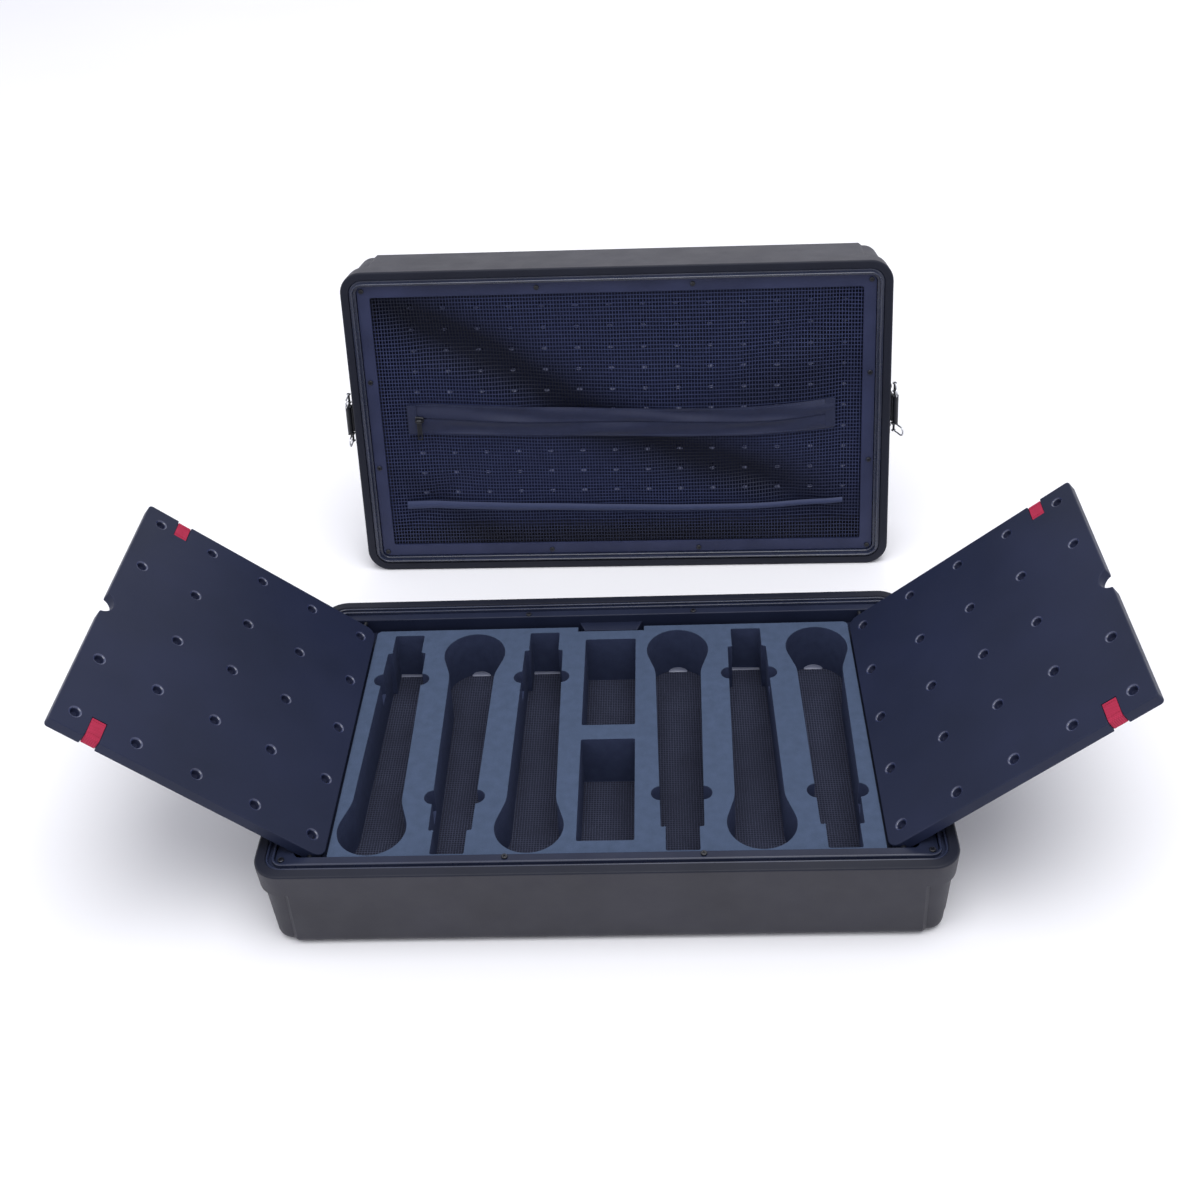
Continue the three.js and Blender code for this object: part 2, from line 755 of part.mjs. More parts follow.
function linerPanel() {
  const bottom = -lidDepth + shellWall + fit;
  const top = bottom + linerPanelThickness;
  const inset = lidDepth * draft + closedEdgeRadius + reliefDepth + linerPanelGap;
  const panel = prism(insetRectangle(inset), bottom, top);
  const halfX = rimWidth / 2 - inset;
  const halfY = rimDepth / 2 - inset;
  const tools = [];
  for (let column = 0; column < linerDimpleColumns; column++) {
    for (let row = 0; row < linerDimpleRows; row++) {
      const x = halfX * ((2 * column + 1) / linerDimpleColumns - 1);
      const y = halfY * ((2 * row + 1) / linerDimpleRows - 1);
      tools.push(uprightCone(x, y, top - 3, top + 0.1, dimpleFloorRadius, dimpleRadius, 6));
    }
  }
  return cutAll(panel, tools);
}

function zipTape(side) {
  const near = bandCentre + (side * coilWidth) / 2;
  const far = near + side * tapeWidth;
  const span = side < 0 ? [far, bandCentre] : [near + fit, far];
  const bottom = netTop + fit;
  return box([-bandHalfLength, bandHalfLength], span, [bottom, bottom + tapeThickness]);
}

function zipCoil() {
  const bottom = netTop + fit;
  const half = coilWidth / 2;
  return box(
    [-bandHalfLength, bandHalfLength],
    [bandCentre - half, bandCentre + half],
    [bottom, bottom + coilThickness],
  );
}

function hem() {
  const bottom = netTop + fit;
  return box(
    [-hemHalfLength, hemHalfLength],
    [hemCentre - hemWidth / 2, hemCentre + hemWidth / 2],
    [bottom, bottom + tapeThickness],
  );
}

// The slider's ears carry the pull on a cross pin that runs along the zip
function sliderFloor() {
  return netTop + fit + coilThickness + fit;
}

function pullEyeRadius() {
  return pullPinRadius + fit + pullEyeWall;
}

function pullPinHeight() {
  return sliderFloor() + sliderThickness + fit + pullEyeRadius();
}

function zipSlider() {
  const x = sliderFromEnd - bandHalfLength;
  const floor = sliderFloor();
  const pin = pullPinHeight();
  const earInner = pullWidth / 2 + fit;
  const earOuter = earInner + earThickness;
  const body = box(
    [x - sliderLength / 2, x + sliderLength / 2],
    [bandCentre - sliderWidth / 2, bandCentre + sliderWidth / 2],
    [floor, floor + sliderThickness],
  );
  const ears = [-1, 1].map((side) => {
    const span = [side * earInner, side * earOuter].sort((a, b) => a - b);
    return box(
      [x + span[0], x + span[1]],
      [bandCentre - 1.6, bandCentre + 1.6],
      [floor + sliderThickness - 0.5, pin + 1.6],
    );
  });
  const cross = rodAlongX(bandCentre, pin, x - earOuter, x + earOuter, pullPinRadius);
  return joinAll([body, ...ears, cross]);
}

function zipPull() {
  const x = sliderFromEnd - bandHalfLength;
  const pin = pullPinHeight();
  const half = pullWidth / 2;
  const eye = rodAlongX(bandCentre, pin, x - half, x + half, pullEyeRadius());
  const blade = box(
    [x - half, x + half],
    [bandCentre - pullLength, bandCentre],
    [pin - pullThickness / 2, pin + pullThickness / 2],
  );
  const bore = rodAlongX(bandCentre, pin, x - half - 1, x + half + 1, pullPinRadius + fit);
  const windowStart = bandCentre - pullLength + pullWindowEnd;
  const window_ = box(
    [x - half + pullWindowWall, x + half - pullWindowWall],
    [windowStart, windowStart + pullWindowLength],
    [pin - 5, pin + 5],
  );
  return cutAll(eye.add(blade), [bore, window_]);
}

function latchPlate() {
  const halfHeight = plateHeight / 2;
  const face = fit + plateThickness;
  const back = -plateFromRim - plateDepth;
  const earReach = leverPinRadius + leverEyeWall - fit;
  const plate = box([fit, face], [-halfHeight, halfHeight], [back, -plateFromRim]);
  const ears = [-1, 1].map((side) => {
    const span = [side * earGap, side * (earGap + earWidth)].sort((a, b) => a - b);
    return box([face - 1, pinX + earReach], span, [pinZ - earReach, pinZ + earReach]);
  });
  const pin = rodAlongY(pinX, pinZ, -earGap - 1, earGap + 1, leverPinRadius, 10);
  return joinAll([plate, ...ears, pin]);
}

// Lever with the cross pin that carries the two wire links
function latchLever() {
  const half = leverWidth / 2;
  const barrel = rodAlongY(pinX, pinZ, -half, half, leverPinRadius + leverEyeWall, 10);
  const arm = box(
    [pinX - leverThickness / 2, pinX + leverThickness / 2],
    [-half, half],
    [-leverEndFromRim, pinZ],
  );
  const bore = rodAlongY(pinX, pinZ, -half - 1, half + 1, leverPinRadius + fit, 10);
  const crossEnd = plateHeight / 2 - fit;
  const cross = rodAlongY(pinX, linkZ, -crossEnd, crossEnd, linkPinRadius, 8);
  return joinAll([barrel, arm]).subtract(bore).add(cross);
}

// Wire link on the lever's cross pin: two legs with eyes and a round front end. It holds the keeper's hook
// with the lever down, and comes clear of the hook when the lever is thrown up and over towards the rim.
function latchLink(side) {
  const wireRadius = linkWire / 2;
  const bend = linkOuterWidth / 2 - wireRadius;
  const centreY = side * (plateHeight / 2 - 2 * fit - linkOuterWidth / 2);
  const closedPin = leverPinFromRim + linkPinFromLeverPin;
  const hooked = keeperLipFromRim + keeperLipThickness + fit + wireRadius;
  const legEnd = closedPin + hooked - bend;
  const arcSteps = 6;
  const points = [new THREE.Vector3(0, centreY - bend, 1)];
  for (let i = 0; i <= arcSteps; i++) {
    const angle = (i / arcSteps) * Math.PI;
    const across = centreY - bend * Math.cos(angle);
    points.push(new THREE.Vector3(0, across, legEnd + bend * Math.sin(angle)));
  }
  points.push(new THREE.Vector3(0, centreY + bend, 1));
  const route = new THREE.CatmullRomCurve3(points, false, "centripetal");
  const section = new THREE.Shape();
  section.absarc(0, 0, wireRadius, 0, 2 * Math.PI);
  const settings = { steps: 20, extrudePath: route, curveSegments: 3 };
  const wire = solidFrom(new THREE.ExtrudeGeometry(section, settings));
  const eyeRadius = linkPinRadius + fit + linkEyeWall;
  const eyes = [-1, 1].map((end) => {
    const y = centreY + end * bend;
    return rodAlongY(0, 0, y - wireRadius, y + wireRadius, eyeRadius, 8);
  });
  const boreHalf = linkOuterWidth / 2 + 1;
  const bore = rodAlongY(0, 0, centreY - boreHalf, centreY + boreHalf, linkPinRadius + fit, 8);
  return joinAll([wire, ...eyes]).subtract(bore);
}

function buildLatch(parent, name, side) {
  const frame = endWallFrame(parent, side, latchCentre, 0);
  addPiece(frame, `latch_plate_${name}`, latchPlate(), blackSteel);
  addPiece(frame, `latch_lever_${name}`, latchLever(), blackSteel);
  for (const [place, end] of [
    ["upper", 1],
    ["lower", -1],
  ]) {
    const link = new THREE.Group();
    link.position.set(pinX, 0, linkZ);
    const lifted = side > 0 && end < 0;
    link.rotation.y = (lifted ? liftedLinkAngle : restingLinkAngle) * radians;
    frame.add(link);
    addPiece(link, `latch_link_${place}_${name}`, latchLink(end), chrome);
  }
}

function buildLid(parent) {
  const place = new THREE.Group();
  place.position.set(lidOffsetX, rimDepth / 2 + lidGapBehindBase, 0);
  place.rotation.z = lidYaw * radians;
  parent.add(place);
  const stand = new THREE.Group();
  stand.rotation.x = Math.PI / 2 - draftAngle * radians;
  place.add(stand);
  const lid = new THREE.Group();
  lid.position.y = rimDepth / 2;
  stand.add(lid);
  const bandFar = coilWidth / 2 + tapeWidth - tapeOverlap;
  const netEdge = rimDepth / 2 - frameInner + netClampWidth;
  addPiece(lid, "lid_shell", shell(lidDepth), plastic);
  const ring = rimRing(netBottom - fit, frameInner - 2, true);
  const ringHoles = screwHoles(netBottom - fit - seatThickness - 1, netBottom + 1);
  addPiece(lid, "lid_tongue_ring", cutAll(ring, ringHoles), ringPlastic);
  const frame = insetRing(ringInner + fit, frameInner, frameBottom, -flangeDrop);
  const frameHoles = screwHoles(frameBottom - 1, 0);
  addPiece(lid, "net_frame", cutAll(frame, frameHoles), linerPlastic);
  addScrews(lid, "frame_screw", -flangeDrop, frameThickness + netThickness);
  addPiece(lid, "net_upper", net(bandCentre + bandFar, netEdge), netBlack);
  addPiece(lid, "net_lower", net(-netEdge, bandCentre - bandFar), netBlack);
  addPiece(lid, "zip_tape_upper", zipTape(1), tapeBlack);
  addPiece(lid, "zip_tape_lower", zipTape(-1).add(zipCoil()), tapeBlack);
  addPiece(lid, "net_binding", hem(), tapeBlack);
  addPiece(lid, "lid_liner_panel", linerPanel(), wingPlastic);
  addPiece(lid, "zip_slider", zipSlider(), blackSteel);
  addPiece(lid, "zip_pull", zipPull(), blackSteel);
  for (const [name, side] of sides()) {
    buildLatch(lid, name, side);
  }
}

const microphoneCase = new THREE.Group();
microphoneCase.name = "microphone_case";
buildBase(microphoneCase);
for (const [name, side] of sides()) {
  buildWing(microphoneCase, name, side);
}
buildLid(microphoneCase);

export default microphoneCase;
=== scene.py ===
# %% [markdown]
# # A transit case for six microphones
# The case has two parts. A shallow base tray holds cut foam under two hinged covers. A loose lid stands
# behind it on one long side, with a zipped net pocket inside and a latch on each end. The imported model
# gives every piece its place, so this lesson only adds finer shapes, finishes, light and a camera.

# %% Load the frame
import math

import bmesh
import bpy
from mathutils import Matrix, Vector


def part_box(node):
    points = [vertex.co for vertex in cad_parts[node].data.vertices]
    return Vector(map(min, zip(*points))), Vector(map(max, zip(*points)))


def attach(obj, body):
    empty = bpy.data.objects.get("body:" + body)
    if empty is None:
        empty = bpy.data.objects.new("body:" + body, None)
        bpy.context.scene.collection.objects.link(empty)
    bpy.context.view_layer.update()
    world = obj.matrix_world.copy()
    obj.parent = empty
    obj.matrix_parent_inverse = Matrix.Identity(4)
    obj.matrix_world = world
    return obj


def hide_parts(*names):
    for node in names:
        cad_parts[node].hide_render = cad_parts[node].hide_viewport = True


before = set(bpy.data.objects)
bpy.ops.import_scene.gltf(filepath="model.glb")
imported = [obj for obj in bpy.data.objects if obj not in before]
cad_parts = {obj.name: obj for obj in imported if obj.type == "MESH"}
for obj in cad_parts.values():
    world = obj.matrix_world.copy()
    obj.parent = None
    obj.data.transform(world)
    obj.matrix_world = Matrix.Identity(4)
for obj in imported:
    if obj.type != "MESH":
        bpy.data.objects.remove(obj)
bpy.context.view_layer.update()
bpy.ops.object.select_all(action="DESELECT")
MM = 0.001
print("pieces in the frame:", len(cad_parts))

# %% [markdown]
# ## Sizes
# All sizes are the real ones in millimetres. The rim's outline is the same on the base and the lid, and
# most pieces are that outline drawn in by some inset, as a mould maker would draw them.

# %% Sizes that several pieces share
RIM_X = 285
RIM_Y = 177
RIM_CORNER = 24
DRAFT_ANGLE = 5.3
DRAFT = math.tan(math.radians(DRAFT_ANGLE))
BASE_HEIGHT = 84
LID_DEPTH = 78
FLANGE_TOP = 80.5
OPENING_X = 253.5
OPENING_Y = 151.5
HINGE_X = 241
HINGE_Z = 77.4
# An open cover leans on the flange's edge, which lies this far out from its rod and above it.
EDGE_OUT = 12.5
EDGE_UP = 3.1
COVER_CLEARS = 5.3
OPEN_ANGLE = math.atan2(EDGE_UP, EDGE_OUT) + math.asin(COVER_CLEARS / math.hypot(EDGE_OUT, EDGE_UP))
print("covers stand open at", round(math.degrees(OPEN_ANGLE), 1), "degrees")

# %% [markdown]
# ## Places
# A piece is modelled flat on the origin and then put in its place with one matrix. The mesh takes the
# matrix, and the object stays at the origin, so patterns and joints keep their place. Moving the object
# itself would be quicker, but then its patterns would slide over it in the exported model.

# %% The places of the base's rim, the lid and the two covers
LID_ASIDE = 10
LID_BEHIND = 160
LID_YAW = -0.9
COVER_SHIFT = -3.3


def shifted(x, y, z):
    """A move in millimetres."""
    return Matrix.Translation((x * MM, y * MM, z * MM))


def turned(degrees, axis):
    """A turn about one axis."""
    return Matrix.Rotation(math.radians(degrees), 4, axis)


base_place = shifted(0, 0, BASE_HEIGHT)
lid_foot = shifted(LID_ASIDE, RIM_Y + LID_BEHIND, 0) @ turned(LID_YAW, "Z")
lid_place = lid_foot @ turned(90 - DRAFT_ANGLE, "X") @ shifted(0, RIM_Y, 0)
mirror = Matrix.Scale(-1, 4, (1, 0, 0))
cover_place = {"right": shifted(HINGE_X, COVER_SHIFT, HINGE_Z) @ turned(-math.degrees(OPEN_ANGLE), "Y")}
cover_place["left"] = mirror @ cover_place["right"]
print("the lid's rim centre is at", [round(v / MM, 1) for v in lid_place.translation])


def end_wall_place(side, y, rim):
    """The frame on an end wall: x out of the wall, y along the rim and z towards the rim."""
    start = rim @ mirror if side == "left" else rim
    return start @ shifted(RIM_X, y, 0) @ turned(DRAFT_ANGLE, "Y")


# %% [markdown]
# ## Modelling helpers
# These few helpers do by name what a hand does in edit mode: start from a flat plate, pick faces or edges
# by where they are, draw a cap in and up, cut with a tool, and round edges. Each could be written out at
# every piece, but as helpers they keep a piece's own lines down to its sizes.

# %% Start a plate with rounded corners
def rounded_plate(name, half_x, half_y, corner, z=0.0, centre=(0, 0), segments=10):
    """A flat rounded rectangle that faces up, left in edit mode with its face selected."""
    bpy.ops.mesh.primitive_plane_add(size=2, location=(0, 0, 0))
    piece = bpy.context.object
    piece.name = name
    bpy.ops.object.mode_set(mode="EDIT")
    bpy.ops.mesh.select_all(action="SELECT")
    bpy.ops.transform.resize(value=(half_x * MM, half_y * MM, 1), center_override=(0, 0, 0))
    bpy.ops.transform.translate(value=(centre[0] * MM, centre[1] * MM, z * MM))
    if corner:
        bpy.ops.mesh.bevel(affect="VERTICES", offset=corner * MM, segments=segments, profile=0.5)
        bpy.ops.mesh.select_all(action="SELECT")
    return piece


def rim_plate(name, inset, z=0.0):
    """The rim's outline drawn in by an inset."""
    return rounded_plate(name, RIM_X - inset, RIM_Y - inset, RIM_CORNER - inset, z)


# %% Grow a cap step by step
def step(inset, rise, up=1):
    """Draws the selected cap in by inset and moves it by rise along Z, leaving a wall behind it.

    An inset's depth goes along the cap's normal, so up is -1 for a cap that faces down.
    """
    if inset:
        bpy.ops.mesh.inset(thickness=inset * MM, depth=rise * up * MM, use_even_offset=True)
    else:
        bpy.ops.mesh.extrude_region_move(TRANSFORM_OT_translate={"value": (0, 0, rise * MM)})


def quarter_round(radius, turns=4):
    """Steps that round a cap's edge over from its wall."""
    steps = []
    for i in range(turns):
        a = math.pi / 2 * i / turns
        b = math.pi / 2 * (i + 1) / turns
        steps.append((radius * (math.cos(a) - math.cos(b)), radius * (math.sin(b) - math.sin(a))))
    return steps


# %% Pick faces, edges and points
def pick(kind, test):
    """In edit mode, selects the faces, edges or points that pass the test, and says how many."""
    bpy.ops.mesh.select_mode(type=kind)
    bpy.ops.mesh.select_all(action="DESELECT")
    mesh = bmesh.from_edit_mesh(bpy.context.object.data)
    items = {"FACE": mesh.faces, "EDGE": mesh.edges, "VERT": mesh.verts}[kind]
    chosen = [item for item in items if test(item)]
    for item in chosen:
        item.select_set(True)
    mesh.select_flush_mode()
    bmesh.update_edit_mesh(bpy.context.object.data)
    return len(chosen)


def middle(edge):
    """An edge's middle in millimetres."""
    return (edge.verts[0].co + edge.verts[1].co) / 2 / MM


def is_sharp(edge, degrees=30):
    """Whether the two faces at an edge meet at more than some degrees."""
    return edge.is_manifold and edge.calc_face_angle(0) > math.radians(degrees)


def is_upright(edge):
    """Whether an edge runs nearly along Z."""
    run = edge.verts[1].co - edge.verts[0].co
    return abs(run.z) > 0.9 * run.length


# %% Cut, join, round and copy
def apply_all(piece):
    """Applies a piece's modifiers, from the first to the last."""
    bpy.ops.object.select_all(action="DESELECT")
    bpy.context.view_layer.objects.active = piece
    for change in list(piece.modifiers):
        bpy.ops.object.modifier_apply(modifier=change.name)


def combine(piece, tool, how="DIFFERENCE"):
    """Cuts the tool out of the piece, or joins it on, and takes the tool away."""
    change = piece.modifiers.new("combine", "BOOLEAN")
    change.operation = how
    change.solver = "EXACT"
    change.object = tool
    apply_all(piece)
    bpy.data.objects.remove(tool, do_unlink=True)
    return piece


def round_edges(piece, width, segments=2, degrees=35):
    """Rounds every edge that turns by more than some degrees."""
    change = piece.modifiers.new("round", "BEVEL")
    change.limit_method = "ANGLE"
    change.angle_limit = math.radians(degrees)
    change.width = width * MM
    change.segments = segments
    apply_all(piece)
    return piece


def thicken(piece, thickness, offset):
    """Gives a sheet its thickness: half on each side at offset 0, and all behind its face at -1."""
    change = piece.modifiers.new("thick", "SOLIDIFY")
    change.thickness = thickness * MM
    change.offset = offset
    apply_all(piece)
    return piece


def copy_of(piece, name, place=None):
    """A copy with its own mesh, put in its place."""
    made = piece.copy()
    made.data = piece.data.copy()
    made.name = name
    bpy.context.scene.collection.objects.link(made)
    if place is not None:
        made.data.transform(place)
        if place.determinant() < 0:
            made.data.flip_normals()
    return made


def join_pieces(pieces, name):
    """Makes one mesh of several pieces, with each piece's faces as they were."""
    bpy.ops.object.select_all(action="DESELECT")
    for piece in pieces:
        piece.select_set(True)
    bpy.context.view_layer.objects.active = pieces[0]
    bpy.ops.object.join()
    pieces[0].name = name
    bpy.ops.object.select_all(action="DESELECT")
    return pieces[0]


def object_mode():
    """Leaves edit mode if it is open."""
    if bpy.context.object and bpy.context.object.mode != "OBJECT":
        bpy.ops.object.mode_set(mode="OBJECT")


def edit(piece):
    """Opens a piece in edit mode."""
    bpy.context.view_layer.objects.active = piece
    bpy.ops.object.mode_set(mode="EDIT")


def box(name, x, y, z):
    """A block between two values on each axis, for cutting with or for building on."""
    size = ((x[1] - x[0]) * MM, (y[1] - y[0]) * MM, (z[1] - z[0]) * MM)
    bpy.ops.mesh.primitive_cube_add(size=1)
    piece = bpy.context.object
    piece.name = name
    bpy.ops.object.mode_set(mode="EDIT")
    bpy.ops.transform.resize(value=size, center_override=(0, 0, 0))
    centre = [(pair[0] + pair[1]) / 2 * MM for pair in (x, y, z)]
    bpy.ops.transform.translate(value=centre)
    bpy.ops.object.mode_set(mode="OBJECT")
    return piece


def rod(name, radius, start, end, sides=24):
    """A round bar between two points."""
    start, end = Vector(start) * MM, Vector(end) * MM
    bpy.ops.mesh.primitive_cylinder_add(vertices=sides, radius=radius * MM, depth=(end - start).length)
    piece = bpy.context.object
    piece.name = name
    turn = Vector((0, 0, 1)).rotation_difference(end - start).to_matrix().to_4x4()
    piece.data.transform(Matrix.Translation((start + end) / 2) @ turn)
    return piece


# %% Finish a piece
def finish(piece, finish_material, body, place=None, replaces=(), smooth=32, even=True):
    """Puts the mesh in its place, shades it, gives it its finish and its body, and hides the CAD nodes it
    replaces.

    Even shading lets the large flat faces decide the light on the small rounded ones beside them.
    """
    object_mode()
    if place is not None:
        piece.data.transform(place)
        if place.determinant() < 0:
            piece.data.flip_normals()
    bpy.ops.object.select_all(action="DESELECT")
    piece.select_set(True)
    bpy.context.view_layer.objects.active = piece
    bpy.ops.object.shade_smooth_by_angle(angle=math.radians(smooth))
    if even:
        change = piece.modifiers.new("even", "WEIGHTED_NORMAL")
        change.keep_sharp = True
        bpy.ops.object.modifier_apply(modifier=change.name)
    bpy.ops.object.select_all(action="DESELECT")
    piece.data.materials.clear()
    piece.data.materials.append(finish_material)
    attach(piece, body)
    if replaces:
        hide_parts(*replaces)
    return piece


def second_finish(piece, finish_material, test):
    """Gives the faces that pass the test another finish, and says how many there are."""
    piece.data.materials.append(finish_material)
    chosen = [face for face in piece.data.polygons if test(face)]
    for face in chosen:
        face.material_index = len(piece.data.materials) - 1
    return len(chosen)


def keep_flat_uv(piece):
    """Stores the flat x and y of a piece in millimetres before it is turned, for weaves and grain."""
    mesh = piece.data
    layer = mesh.uv_layers.get("flat") or mesh.uv_layers.new(name="flat")
    for loop in mesh.loops:
        point = mesh.vertices[loop.vertex_index].co
        layer.data[loop.index].uv = (point.x / MM, point.y / MM)
    mesh.uv_layers.active = layer


# %% [markdown]
# ## Material helpers
# Every finish is built from nodes. Colours are written as sRGB hex, patterns have their real size in
# millimetres, and Object coordinates hold them to the piece. Image textures could do the same, but they
# would need unwrapped seams, and a pattern made of nodes has its real scale from the start.

# %% Colour and node helpers
def colour(code):
    """The linear colour of an sRGB hex code."""
    parts = [int(code[i : i + 2], 16) / 255 for i in (1, 3, 5)]
    linear = [p / 12.92 if p <= 0.04045 else ((p + 0.055) / 1.055) ** 2.4 for p in parts]
    return (*linear, 1.0)


def add_node(tree, kind, values=None, **settings):
    """Adds a node, sets its settings and inputs, and links an input that is given a socket."""
    node = tree.nodes.new(kind)
    for name, value in settings.items():
        setattr(node, name, value)
    for name, value in (values or {}).items():
        if isinstance(value, bpy.types.NodeSocket):
            tree.links.new(value, node.inputs[name])
        else:
            node.inputs[name].default_value = value
    return node


def new_finish(name, roughness, specular=0.4, metallic=0.0):
    """A material with its Principled shader and the coordinates that patterns start from."""
    made = bpy.data.materials.new(name)
    made.use_nodes = True
    tree = made.node_tree
    shader = tree.nodes["Principled BSDF"]
    shader.inputs["Roughness"].default_value = roughness
    shader.inputs["Specular IOR Level"].default_value = specular
    shader.inputs["Metallic"].default_value = metallic
    where = add_node(tree, "ShaderNodeTexCoord").outputs["Object"]
    return made, tree, shader, where


# %% Patches, tones and relief
def patches(tree, where, size, low, high, detail=3.0, start=0.3, end=0.7):
    """A number that wanders between low and high in soft patches about size millimetres wide."""
    settings = {"Vector": where, "Scale": 1 / (size * MM), "Detail": detail}
    cloud = add_node(tree, "ShaderNodeTexNoise", settings).outputs["Fac"]
    limits = {"Value": cloud, "From Min": start, "From Max": end, "To Min": low, "To Max": high}
    return add_node(tree, "ShaderNodeMapRange", limits).outputs["Result"]


def waves(tree, where, pitch):
    """A wave along X and one along Y, each of which crosses zero once in every pitch."""
    spread = add_node(tree, "ShaderNodeSeparateXYZ", {"Vector": where}).outputs
    rows = []
    for axis in ("X", "Y"):
        inputs = {0: spread[axis], 1: math.pi / pitch}
        turn = add_node(tree, "ShaderNodeMath", inputs, operation="MULTIPLY").outputs[0]
        rows.append(add_node(tree, "ShaderNodeMath", {0: turn}, operation="SINE").outputs[0])
    return rows


def lay_tones(tree, shader, first, *layers):
    """Colours the surface with the first tone and lays each further tone over it by its share."""
    base = colour(first)
    for share, tone in layers:
        inputs = {"Factor": share, 6: base, 7: colour(tone)}
        base = add_node(tree, "ShaderNodeMix", inputs, data_type="RGBA").outputs[2]
    tree.links.new(base, shader.inputs["Base Color"])


def raise_relief(tree, shader, *layers):
    """Raises the surface by each height, at its depth in millimetres, one on top of another."""
    inputs = {}
    for height, depth in layers:
        inputs.update({"Height": height, "Distance": depth * MM})
        inputs["Normal"] = add_node(tree, "ShaderNodeBump", inputs).outputs["Normal"]
    tree.links.new(inputs["Normal"], shader.inputs["Normal"])


# %% [markdown]
# ## Moulded plastics
# The tub and lid are moulded in a dull plastic with a fine grain, and their rims are moulded smoother. The
# liner and the covers are formed sheet, which reflects soft streaks. All are dark, so the shine does more
# for the look than the colour. One function serves them all, since they differ only in tone, grain and
# shine, and its noise breaks up the even look that a plain shader would have.

# %% Moulded and formed plastic finishes
def moulded_plastic(name, dark, light, roughness, grain, relief, specular=0.4, cloud=60):
    """Dark plastic: broad patches from uneven cooling, a fine grain, and a wavy skin against glare.

    The real grain is a few tenths of a millimetre wide. It is drawn two or three times as coarse, to show.
    """
    made, tree, shader, where = new_finish(name, roughness, specular)
    broad = patches(tree, where, cloud, 0.0, 1.0, 2.0)
    speckle = patches(tree, where, grain * 2, 0.0, 0.35, 2.0)
    lay_tones(tree, shader, dark, (broad, light), (speckle, light))
    wiped = patches(tree, where, cloud * 0.4, roughness - 0.03, roughness + 0.05)
    tree.links.new(wiped, shader.inputs["Roughness"])
    grained = patches(tree, where, grain, 0.0, 1.0, 4.0)
    wavy = patches(tree, where, 14, 0.0, 1.0, 1.0)
    raise_relief(tree, shader, (grained, relief), (wavy, relief * 1.6))
    return made


# Structural foam moulding: its grain turns the studio's light into a soft even grey.
shell_plastic = moulded_plastic(
    "Injection-moulded polypropylene, grained", "#1e1e28", "#272732", 0.5, 0.7, 0.06, 0.42
)
# The rims come from a polished part of the mould, so they read as darker bands with a soft sheen.
rim_plastic = moulded_plastic(
    "Injection-moulded polypropylene, satin", "#151824", "#1b1e2b", 0.46, 0.9, 0.015, 0.22
)
# The seal's ridges are rubbed smooth by each other, so they are glossy; their lighter tone is a painted
# highlight.
ridge_painted_highlight = moulded_plastic(
    "Injection-moulded polypropylene, rubbed ridge", "#20263a", "#2b3147", 0.26, 0.9, 0.005, 0.6
)
# Sheet drawn over a mould: smooth and a little glossy on its raised side.
liner_plastic = moulded_plastic("Vacuum-formed ABS sheet, liner", "#191e31", "#22283d", 0.4, 0.9, 0.02, 0.2)
# The strip is cut from the same sheet; its lighter, bluer tone is painted light for where it lies in full
# light.
strip_painted_light = moulded_plastic("Die-cut ABS strip, painted light", "#242a46", "#2f3554", 0.45, 0.9, 0.02, 0.28, 40)
# The covers' sheet is the darkest: broad calm faces with a faint cloud of handling marks.
panel_plastic = moulded_plastic(
    "Vacuum-formed ABS sheet, covers", "#1a2034", "#20263e", 0.46, 0.8, 0.02, 0.2, 90
)
# Stretching over the mould's pins thins and polishes a dimple's lip, so it is glossier; its lighter tone is
# a painted glint.
lip_painted_glint = moulded_plastic(
    "Vacuum-formed ABS sheet, lip with painted glint", "#272d48", "#333a5a", 0.24, 0.8, 0.005, 0.7, 90
)
# The lid's inner sheet is painted dark, as painted shade for the net's shade; the covers' dimple bowls take
# it as painted shade too.
painted_shade_plastic = moulded_plastic(
    "Vacuum-formed ABS sheet, painted shade", "#161a2e", "#1c2138", 0.5, 0.8, 0.02, 0.15, 90
)
# Its pale tone is a painted glint: the dimples' slopes that face the light show through the net as rows of
# pale glints.
painted_glint_plastic = moulded_plastic(
    "Vacuum-formed ABS sheet, lid dimples, painted glint", "#5f6583", "#72789a", 0.35, 0.8, 0.01, 0.5, 90
)
print("plastics:", shell_plastic.name, "and", panel_plastic.name)

# %% [markdown]
# ## Foam and pad
# The block is closed-cell foam, cut with a blade, so its faces show tiny open cells and a faint mottle.
# The pad under it has a pressed grid. Cells and ridges could be real holes and bars, but there are far too
# many of them, so a cell texture and two crossed waves raise them in the material.

# %% Foam and pad finishes
CELL = 0.9


def cut_foam(name, dark, light):
    """Blade-cut foam: open cells and a mottle from uneven ones.

    Real cells are about 0.4 mm wide. They are drawn at CELL, as coarse as they need to be to show.
    """
    made, tree, shader, where = new_finish(name, 0.92, 0.15)
    settings = {"Vector": where, "Scale": 1 / (CELL * MM)}
    cells = add_node(tree, "ShaderNodeTexVoronoi", settings).outputs["Distance"]
    mottle = patches(tree, where, 9, 0.0, 0.6, 4.0)
    broad = patches(tree, where, 90, 0.0, 0.4, 2.0)
    lay_tones(tree, shader, dark, (mottle, light), (broad, dark))
    lumps = patches(tree, where, 3, 0.0, 1.0)
    raise_relief(tree, shader, (cells, 0.2), (lumps, 0.08))
    shader.inputs["Sheen Weight"].default_value = 0.06
    shader.inputs["Sheen Roughness"].default_value = 0.6
    shader.inputs["Sheen Tint"].default_value = colour(light)
    return made


